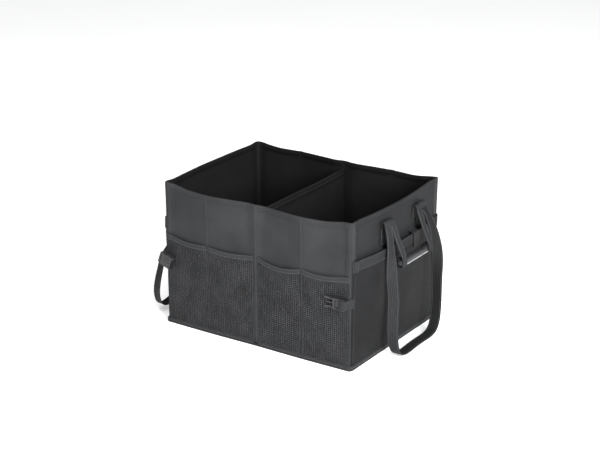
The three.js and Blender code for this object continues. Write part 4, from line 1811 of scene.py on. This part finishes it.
@dataclass
class Floor:
    """Half of the fabric floor and the lift-up board on it."""

    shape: CrateShape
    dress: Wardrobe
    side: Side
    keep: float = 0.14

    def build(self) -> None:
        """Makes the fabric, its rim and the board."""
        self.skin()
        self.board()

    def skin(self) -> None:
        """The fabric floor with its bound rim."""
        name = f"floor_skin_{self.side.value}"
        shape, sign = self.shape, self.side.sign
        room = Room.of(name)
        mould = Mould(f"{name}_cloth", self.dress.woven, self.dress.binding)
        start = 0.15
        us = steps(start, shape.half_width - 20.0, 12.0)[:-1] + steps(
            shape.half_width - 20.0, shape.half_width + 1.0, 3.0
        )
        ys = steps(-shape.half_depth - 1.0, shape.half_depth + 1.0, 10.0)

        def base(u: float, v: float, w: float) -> Vector:
            """A point of the floor at u across, v along Y and w through it."""
            return shape.warp(sign * u, v, between(0.3, 1.3, w))

        mould.slab(base, us, ys, 0.3)
        top = room.high.z
        profile = [
            (-3.6, top - 0.1),
            (0.0, top),
            (3.4, top),
            (4.8, top - 0.8),
            (5.1, 2.0),
            (4.4, 0.5),
            (3.0, 0.05),
            (-3.6, 0.3),
        ]
        runs: list[tuple[Place, float]] = [
            (Place.FRONT, u - shape.half_width)
            for u in steps(start, 221.0, 9.0)
        ]
        runs += [(Place.FRONT, run) for run in steps(-22.0, 22.0, 2.2)]
        runs += [(Place.FRONT, run) for run in steps(26.0, shape.half_depth, 9.0)]
        runs += [(Place.BACK, run) for run in reversed(steps(26.0, shape.half_depth - 6.0, 9.0))]
        runs += [(Place.BACK, run) for run in reversed(steps(-22.0, 22.0, 2.2))]
        runs += [(Place.BACK, u - shape.half_width) for u in reversed(steps(start, 221.0, 9.0))]
        rings = [[shape.edge(place, self.side, run, out, z) for out, z in profile] for place, run in runs]
        along = [0.0]
        for a, b in zip(rings, rings[1:]):
            along.append(along[-1] + (b[3] - a[3]).length / MM)
        mould.loft(rings, [2.0 * i for i in range(9)], along, [1] * 8)
        piece = mould.made("centre", Slot.BINDING, (name,))
        f"fold_{self.side.value}"
        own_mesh(piece)

    def board(self) -> None:
        """The stiff base board in its black lining."""
        name = f"floor_board_{self.side.value}"
        room = Room.of(name)
        near, far = room.reach(0)
        shape, sign = self.shape, self.side.sign
        mould = Mould(f"{name}_cover", self.dress.lining, self.dress.dark_thread)

        def spot(u: float, v: float, w: float) -> Vector:
            """A point of the board at u across, v along Y and w through it."""
            return shape.warp(sign * u, v, between(room.low.z, room.high.z, w))

        us = steps(near + 0.6, far - 4.0, 10.0)
        ys = steps(room.low.y + 4.0, room.high.y - 4.0, 10.0)
        mould.slab(spot, us, ys, 0.6)
        for y in (ys[0] + 5.0, ys[-1] - 5.0):
            mould.stitches(
                lambda u, y=y: (spot(u, y, 1.02), Vector((0.0, 0.0, 1.0))), us[0] + 5.0, us[-1] - 5.0, 1, 4.0
            )
        for u in (us[0] + 5.0, us[-1] - 5.0):
            mould.stitches(
                lambda y, u=u: (spot(u, y, 1.02), Vector((0.0, 0.0, 1.0))), ys[0] + 5.0, ys[-1] - 5.0, 1, 4.0
            )
        mould.made(f"floor_{self.side.value}", Slot.LINING, (name,))


# ---- Front clip ----


@dataclass
class Clip:
    """The two halves of the side-release clip and their webbing."""

    shape: CrateShape
    dress: Wardrobe
    tilt: float = 20.0

    def build(self) -> None:
        """Makes both halves."""
        self.socket()
        self.plug()

    def socket(self) -> None:
        """The socket at the left corner."""
        room = Room.of("clip_socket")
        low, high = room.low, room.high
        middle = (low + high) / 2.0
        turn = (
            Matrix.Translation(middle)
            @ Matrix.Rotation(math.radians(self.tilt), 4, "Y")
            @ Matrix.Translation(-middle)
        )
        mould = Mould("clip_socket_shell", self.dress.plastic)
        wall = 2.2
        floors = ((low.z, low.z + wall + 1.0), (high.z - wall - 1.0, high.z))
        self.cubes(mould, [(low.x + 4.0, low.y, z0, high.x, high.y, z1) for z0, z1 in floors], 0.9, turn)
        faces = ((low.y, low.y + wall), (high.y - wall, high.y))
        inside = (low.z + 1.2, high.z - 1.2)
        self.cubes(
            mould, [(low.x + 6.0, y0, inside[0], high.x - 3.0, y1, inside[1]) for y0, y1 in faces], 0.8, turn
        )
        for start, end, bevel in ((0.0, 4.5, 1.2), (9.5, 13.0, 0.9)):
            bar = (low.x + start, low.y + 1.0, low.z + 2.0, low.x + end, high.y - 1.0, high.z - 2.0)
            self.cubes(mould, [bar], bevel, turn)
        pad = (low.x + 15.0, low.y - 0.7, middle.z - 7.0, high.x - 7.0, low.y + 0.6, middle.z + 7.0)
        self.cubes(mould, [pad], 0.6, turn)
        ribs = [
            (low.x + 17.0 + step, low.y - 1.1, middle.z - 5.5, low.x + 18.6 + step, low.y, middle.z + 5.5)
            for step in (0.0, 4.0, 8.0)
        ]
        self.cubes(mould, ribs, 0.3, turn)
        mould.made("side_left", Slot.PLASTIC, ("clip_socket",), 35.0)
        tape = Room.of("clip_webbing_left")
        z_mid = (tape.low.z + tape.high.z) / 2.0
        rows = [
            (tape.low.x - 0.2, tape.high.y + 6.0, z_mid, 0.0),
            (tape.low.x - 0.6, tape.high.y - 6.0, z_mid, 0.0),
            (tape.low.x - 1.6, -self.shape.half_depth - 1.0, z_mid, 0.0),
            (low.x + 7.4, high.y + 2.6, z_mid, 0.0),
            (low.x + 6.4, middle.y + 1.0, z_mid, 0.0),
        ]
        self.upright_strap("clip_strap_left", rows, "side_left", "clip_webbing_left")

    def cubes(
        self, mould: Mould, boxes: Sequence[Sequence[float]], bevel: float, turn: Matrix | None = None
    ) -> None:
        """Adds blocks, each given by its lowest corner and its highest."""
        for x0, y0, z0, x1, y1, z1 in boxes:
            mould.block(Vector((x0, y0, z0)), Vector((x1, y1, z1)), bevel, 0, turn)

    def upright_strap(self, name: str, rows: Sequence[Sequence[float]], body: str, node: str) -> None:
        """A short strap that runs level with its width upright."""
        line = through([row[:3] for row in rows], 6)
        points = [Vector(row) for row in line]
        runs = [0.0]
        for a, b in zip(points, points[1:]):
            runs.append(runs[-1] + (b - a).length)
        mould = Mould(name, self.dress.webbing, self.dress.thread)

        def spot(u: float, v: float, w: float) -> Vector:
            """A point u above the middle line, at step v and w through the strap."""
            at = min(max(v, 0.0), len(points) - 1.001)
            i = int(at)
            point = points[i].lerp(points[i + 1], at - i)
            along = (points[min(i + 1, len(points) - 1)] - points[max(i - 1, 0)]).normalized()
            normal = along.cross(Vector((0.0, 0.0, 1.0))).normalized()
            return (point + Vector((0.0, 0.0, u)) + normal * (w - 0.5) * 2.0) * MM

        mould.slab(spot, steps(-10.5, 10.5, 2.0), list(range(len(points))), 0.2)
        mould.made(body, Slot.WEBBING, (node,))

    def plug(self) -> None:
        """The plug at the right corner."""
        room = Room.of("clip_plug")
        low, high = room.low, room.high
        y_mid = (low.y + high.y) / 2.0
        z_mid = (low.z + high.z) / 2.0
        shoulder = low.x + 22.0
        mould = Mould("clip_plug_frame", self.dress.plastic)
        rails = ((low.z, low.z + 3.2), (high.z - 3.2, high.z))
        self.cubes(mould, [(shoulder, low.y + 1.4, z0, high.x, high.y - 1.4, z1) for z0, z1 in rails], 1.0)
        bars = ((shoulder, shoulder + 5.0), (high.x - 15.5, high.x - 12.0), (high.x - 4.0, high.x))
        self.cubes(
            mould, [(x0, low.y + 1.6, low.z + 1.0, x1, high.y - 1.6, high.z - 1.0) for x0, x1 in bars], 1.0
        )
        web = (shoulder + 3.0, y_mid - 1.4, low.z + 2.0, high.x - 13.0, y_mid + 1.4, high.z - 2.0)
        self.cubes(mould, [web], 0.5)
        tongue = (low.x + 5.0, y_mid - 1.6, z_mid - 1.6, shoulder + 1.0, y_mid + 1.6, z_mid + 1.6)
        self.cubes(mould, [tongue], 0.7)
        for way in (-1.0, 1.0):
            root = z_mid + way * ((high.z - low.z) / 2.0 - 3.6)
            prong = (low.x + 1.0, y_mid - 1.8, root - 1.7, shoulder + 1.0, y_mid + 1.8, root + 1.7)
            barb = (low.x, y_mid - 2.6, root - 2.6 + way, low.x + 9.0, y_mid + 2.6, root + 2.6 + way)
            self.cubes(mould, [prong], 0.7)
            self.cubes(mould, [barb], 1.3)
        mould.made("side_right", Slot.PLASTIC, ("clip_plug",), 35.0)
        tape = Room.of("clip_webbing_right")
        outer = tape.high.x
        rows = [
            (high.x - 13.6, low.y + 0.6, z_mid, 0.0),
            (high.x - 4.0, low.y + 0.2, z_mid, 0.0),
            (high.x + 3.0, y_mid - 0.6, z_mid, 0.0),
            (outer - 4.0, -self.shape.half_depth - 3.6, z_mid, 0.0),
            (outer + 0.2, -self.shape.half_depth + 4.0, z_mid, 0.0),
            (outer - 0.4, -self.shape.half_depth + 14.0, z_mid, 0.0),
        ]
        self.upright_strap("clip_strap_right", rows, "side_right", "clip_webbing_right")


# ---- Studio ----


@dataclass
class Studio:
    """A pale floor, soft lights and the camera."""

    azimuth: float = 33.55
    elevation: float = 20.36
    distance: float = 3.778
    aim_height: float = 0.1675
    aside: float = -0.0034
    upward: float = 0.0577
    lens: float = 99.7

    def build(self) -> None:
        """Sets up everything round the crate."""
        self.ground()
        self.sky()
        self.lamp("key", 58.0, 24.0, 3.4, 1.3, 215.0)
        self.lamp("top", 10.0, 74.0, 3.2, 2.4, 60.0)
        self.camera()

    def ground(self) -> None:
        """The pale floor."""
        mesh = bpy.data.meshes.new("studio_floor")
        reach = 9.0
        mesh.from_pydata(
            [
                (-reach, -reach, 0.0), (reach, -reach, 0.0), (reach, reach, 0.0), (-reach, reach, 0.0)
            ], [], [(0, 1, 2, 3)]
        )
        floor = bpy.data.objects.new("studio_floor", mesh)
        bpy.context.scene.collection.objects.link(floor)
        bench = NodeBench("pale_paper")
        solid = bench.node("TexCoord").outputs["Object"]
        grain = bench.grain(solid, 3.0, 2.0)
        bench.feed(
            bench.shader.inputs["Base Color"],
            bench.mix(grain, (0.88, 0.88, 0.88, 1.0), (0.92, 0.92, 0.92, 1.0)),
        )
        bench.shader.inputs["Roughness"].default_value = 0.9
        bench.shader.inputs["Emission Color"].default_value = (1.0, 1.0, 1.0, 1.0)
        bench.shader.inputs["Emission Strength"].default_value = 0.4
        mesh.materials.append(bench.material)

    def sky(self) -> None:
        """Even light from all round."""
        world = bpy.data.worlds.new("studio")
        world.use_nodes = True
        shade = world.node_tree.nodes["Background"]
        shade.inputs["Color"].default_value = (0.98, 0.99, 1.0, 1.0)
        shade.inputs["Strength"].default_value = 0.38
        bpy.context.scene.world = world
        bpy.context.scene.view_settings.view_transform = "Standard"

    def direction(self, azimuth: float, elevation: float) -> Vector:
        """The direction from the crate towards a place in the studio, in degrees round from the front."""
        a, e = math.radians(azimuth), math.radians(elevation)
        return Vector((math.sin(a) * math.cos(e), -math.cos(a) * math.cos(e), math.sin(e)))

    def lamp(
        self, name: str, azimuth: float, elevation: float, distance: float, size: float, power: float
    ) -> None:
        """Adds a square soft light that faces the crate.

        Args:
            name: The light's name.
            azimuth: Degrees round from the front, to the right.
            elevation: Degrees above the floor.
            distance: Metres from the crate.
            size: Width of the light in metres.
            power: Watts.
        """
        light = bpy.data.lights.new(name, "AREA")
        light.size = size
        light.energy = power
        lamp = bpy.data.objects.new(name, light)
        away = self.direction(azimuth, elevation)
        lamp.location = away * distance + Vector((0.0, 0.0, 0.15))
        lamp.rotation_euler = away.to_track_quat("Z", "Y").to_euler()
        bpy.context.scene.collection.objects.link(lamp)

    def camera(self) -> None:
        """The camera, level and aimed a little above the crate's middle."""
        a, e = math.radians(self.azimuth), math.radians(self.elevation)
        away = self.direction(self.azimuth, self.elevation)
        right = Vector((math.cos(a), math.sin(a), 0.0))
        up = Vector((-math.sin(e) * math.sin(a), math.sin(e) * math.cos(a), math.cos(e)))
        data = bpy.data.cameras.new("camera")
        data.lens = self.lens
        data.sensor_width = 36.0
        data.clip_end = 60.0
        camera = bpy.data.objects.new("camera", data)
        camera.matrix_world = Matrix.Translation(
            Vector((0.0, 0.0, self.aim_height)) + away * self.distance + right * self.aside + up * self.upward
        ) @ Matrix((right, up, away)).transposed().to_4x4()
        bpy.context.scene.collection.objects.link(camera)
        bpy.context.scene.camera = camera


def main() -> None:
    logging.basicConfig(level=logging.INFO, format="%(name)s: %(message)s")
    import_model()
    Studio().build()
    dress = Wardrobe()
    shape = CrateShape.from_frame()
    droops = {
        (Part.OUTER, Side.LEFT): 3.0,
        (Part.INNER, Side.LEFT): 4.0,
        (Part.INNER, Side.RIGHT): 9.0,
        (Part.OUTER, Side.RIGHT): 4.0,
    }
    for side in Side:
        for place in Place:
            for part in Part:
                panel = LongPanel(shape, dress, place, part, side)
                panel.build()
                if place is Place.FRONT:
                    MeshPocket(panel, droops[part, side]).build()
            FoldSeam(shape, dress, place, side).build()
            CornerSeam(shape, dress, place, side).build()
        wall = SideWall(shape, dress, side)
        wall.build()
        BellowsPocket(wall).build()
        Handles(wall).build()
        Floor(shape, dress, side).build()
    Divider(shape, dress).build()
    Clip(shape, dress).build()
    bpy.context.view_layer.update()


if __name__ == "__main__":
    main()
